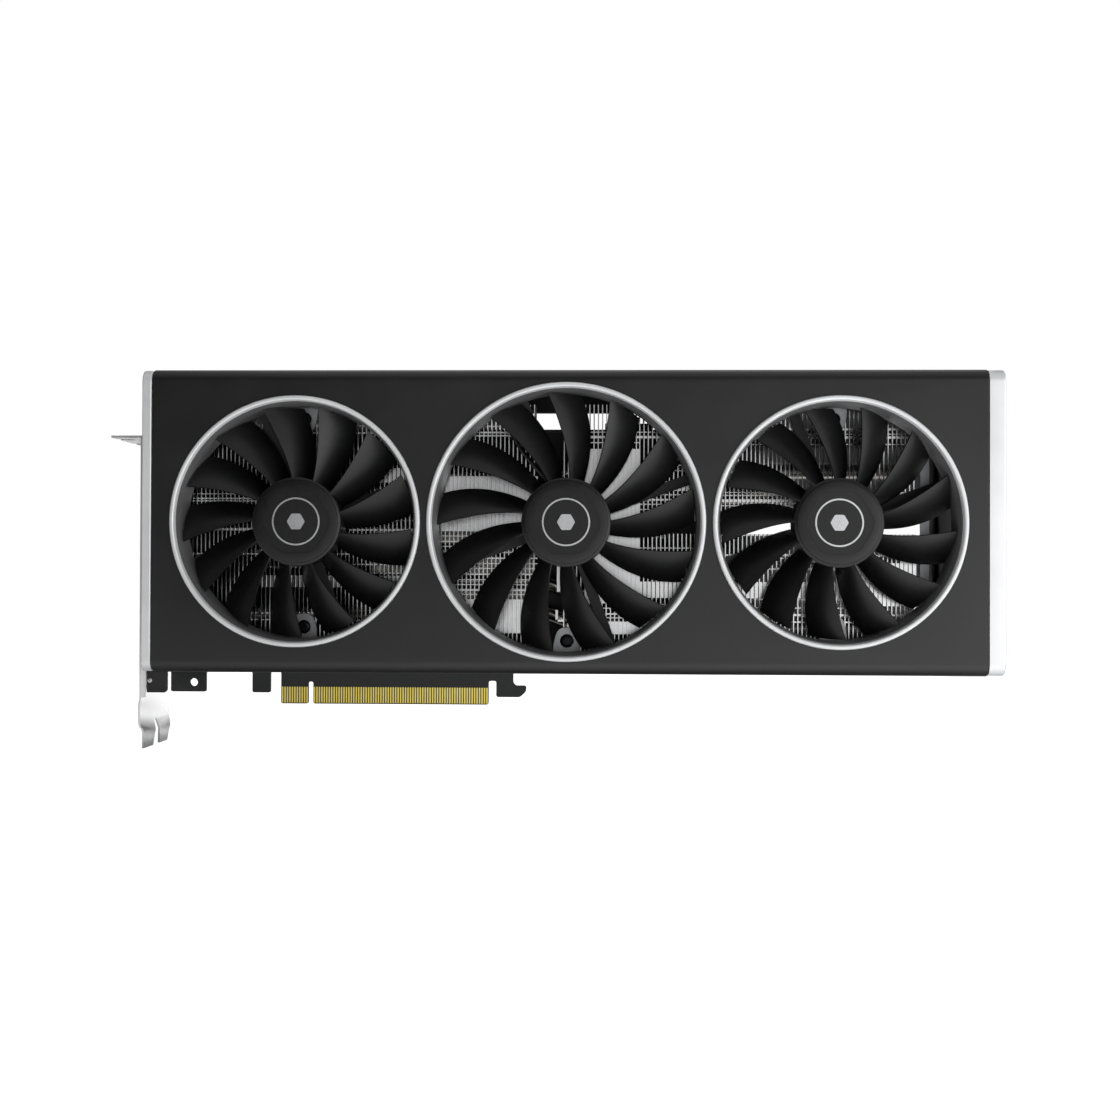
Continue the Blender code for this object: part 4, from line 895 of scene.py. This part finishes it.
# The floor glows as a light table does; the card sees that glow only in front of it and behind it
seen = add_node(tree, "ShaderNodeLightPath").outputs["Is Camera Ray"]
spot = add_node(tree, "ShaderNodeSeparateXYZ", {0: add_node(tree, "ShaderNodeTexCoord").outputs["Object"]})
near = add_node(tree, "ShaderNodeMapRange", {0: spot.outputs["Y"], 1: -0.042, 2: -0.08, 3: 0.02, 4: 1.0})
side = add_node(tree, "ShaderNodeMapRange", {0: spot.outputs["X"], 1: -0.1, 2: 0.25, 3: 0.7, 4: 1.6})
front = add_node(tree, "ShaderNodeMath", {0: near.outputs[0], 1: side.outputs[0]}, operation="MULTIPLY")
behind = add_node(tree, "ShaderNodeMapRange", {0: spot.outputs["Y"], 1: 0.05, 2: 0.09, 3: 0.0, 4: 1.3})
lit = add_node(tree, "ShaderNodeMath", {0: front.outputs[0], 1: behind.outputs[0]}, operation="ADD")
glow = add_node(tree, "ShaderNodeMix", {0: seen, 2: lit.outputs[0], 3: 1.0})
tree.links.new(glow.outputs[0], tree.nodes["Principled BSDF"].inputs["Emission Strength"])
make_piece("floor", bm, floor_white)

scene = bpy.context.scene
scene.view_settings.view_transform = "Standard"
sky = bpy.data.worlds.new("sky")
scene.world = sky
sky.use_nodes = True
tree = sky.node_tree
tree.nodes.clear()
# Brightest low on the right, as beside a large window with a white table
toward = add_node(tree, "ShaderNodeTexCoord").outputs["Generated"]
share = add_node(tree, "ShaderNodeVectorMath", {0: toward, 1: (0.75, -0.3, -0.9)}, operation="DOT_PRODUCT")
lighting = add_node(tree, "ShaderNodeMapRange", {0: share.outputs["Value"], 1: 0.06, 2: 0.75,
                                                 3: 0.03, 4: 1.9})
seen = add_node(tree, "ShaderNodeLightPath").outputs["Is Camera Ray"]
glow = add_node(tree, "ShaderNodeMix", {0: seen, 2: lighting.outputs[0], 3: 1.0})
sky_light = add_node(tree, "ShaderNodeBackground", {"Color": (1, 1, 1, 1), "Strength": glow.outputs[0]})
add_node(tree, "ShaderNodeOutputWorld", {"Surface": sky_light.outputs[0]})
CARD_MIDDLE = Vector((0.08, 0, 0.07))


def add_softbox(name, place, size, power):
    """Square light of a size in metres and a power in watts, aimed at the card's middle."""
    lamp = bpy.data.lights.new(name, "AREA")
    lamp.shape = "SQUARE"
    lamp.size = size
    lamp.energy = power
    box = bpy.data.objects.new(name, lamp)
    aim = (CARD_MIDDLE - Vector(place)).to_track_quat("-Z", "Y")
    box.matrix_world = Matrix.Translation(place) @ aim.to_matrix().to_4x4()
    scene.collection.objects.link(box)


add_softbox("softbox_right", (0.95, -0.95, 0.0), 0.7, 2.5)
add_softbox("softbox_top", (0.1, -0.28, 1.1), 1.1, 3.0)
add_softbox("softbox_back", (0.08, 0.6, 0.95), 0.9, 3)

# Camera: 560 mm in front of the shroud, a little right of its middle, turned a little to the left and up
CAMERA_PLACE = Vector((0.090095, -0.6085, 0.052308))
YAW, PITCH, ROLL = 0.031782, 0.010185, 0.003561
ahead = Vector((-sin(YAW) * cos(PITCH), cos(YAW) * cos(PITCH), sin(PITCH)))
level = Vector((cos(YAW), sin(YAW), 0))
upright = level.cross(ahead)
right = level * cos(ROLL) + upright * sin(ROLL)
up = upright * cos(ROLL) - level * sin(ROLL)
lens = bpy.data.cameras.new("camera")
lens.sensor_width = 36
lens.lens = 48.465
camera = bpy.data.objects.new("camera", lens)
turned = Matrix((right, up, -ahead)).transposed().to_4x4()
camera.matrix_world = Matrix.Translation(CAMERA_PLACE) @ turned
scene.collection.objects.link(camera)
scene.camera = camera
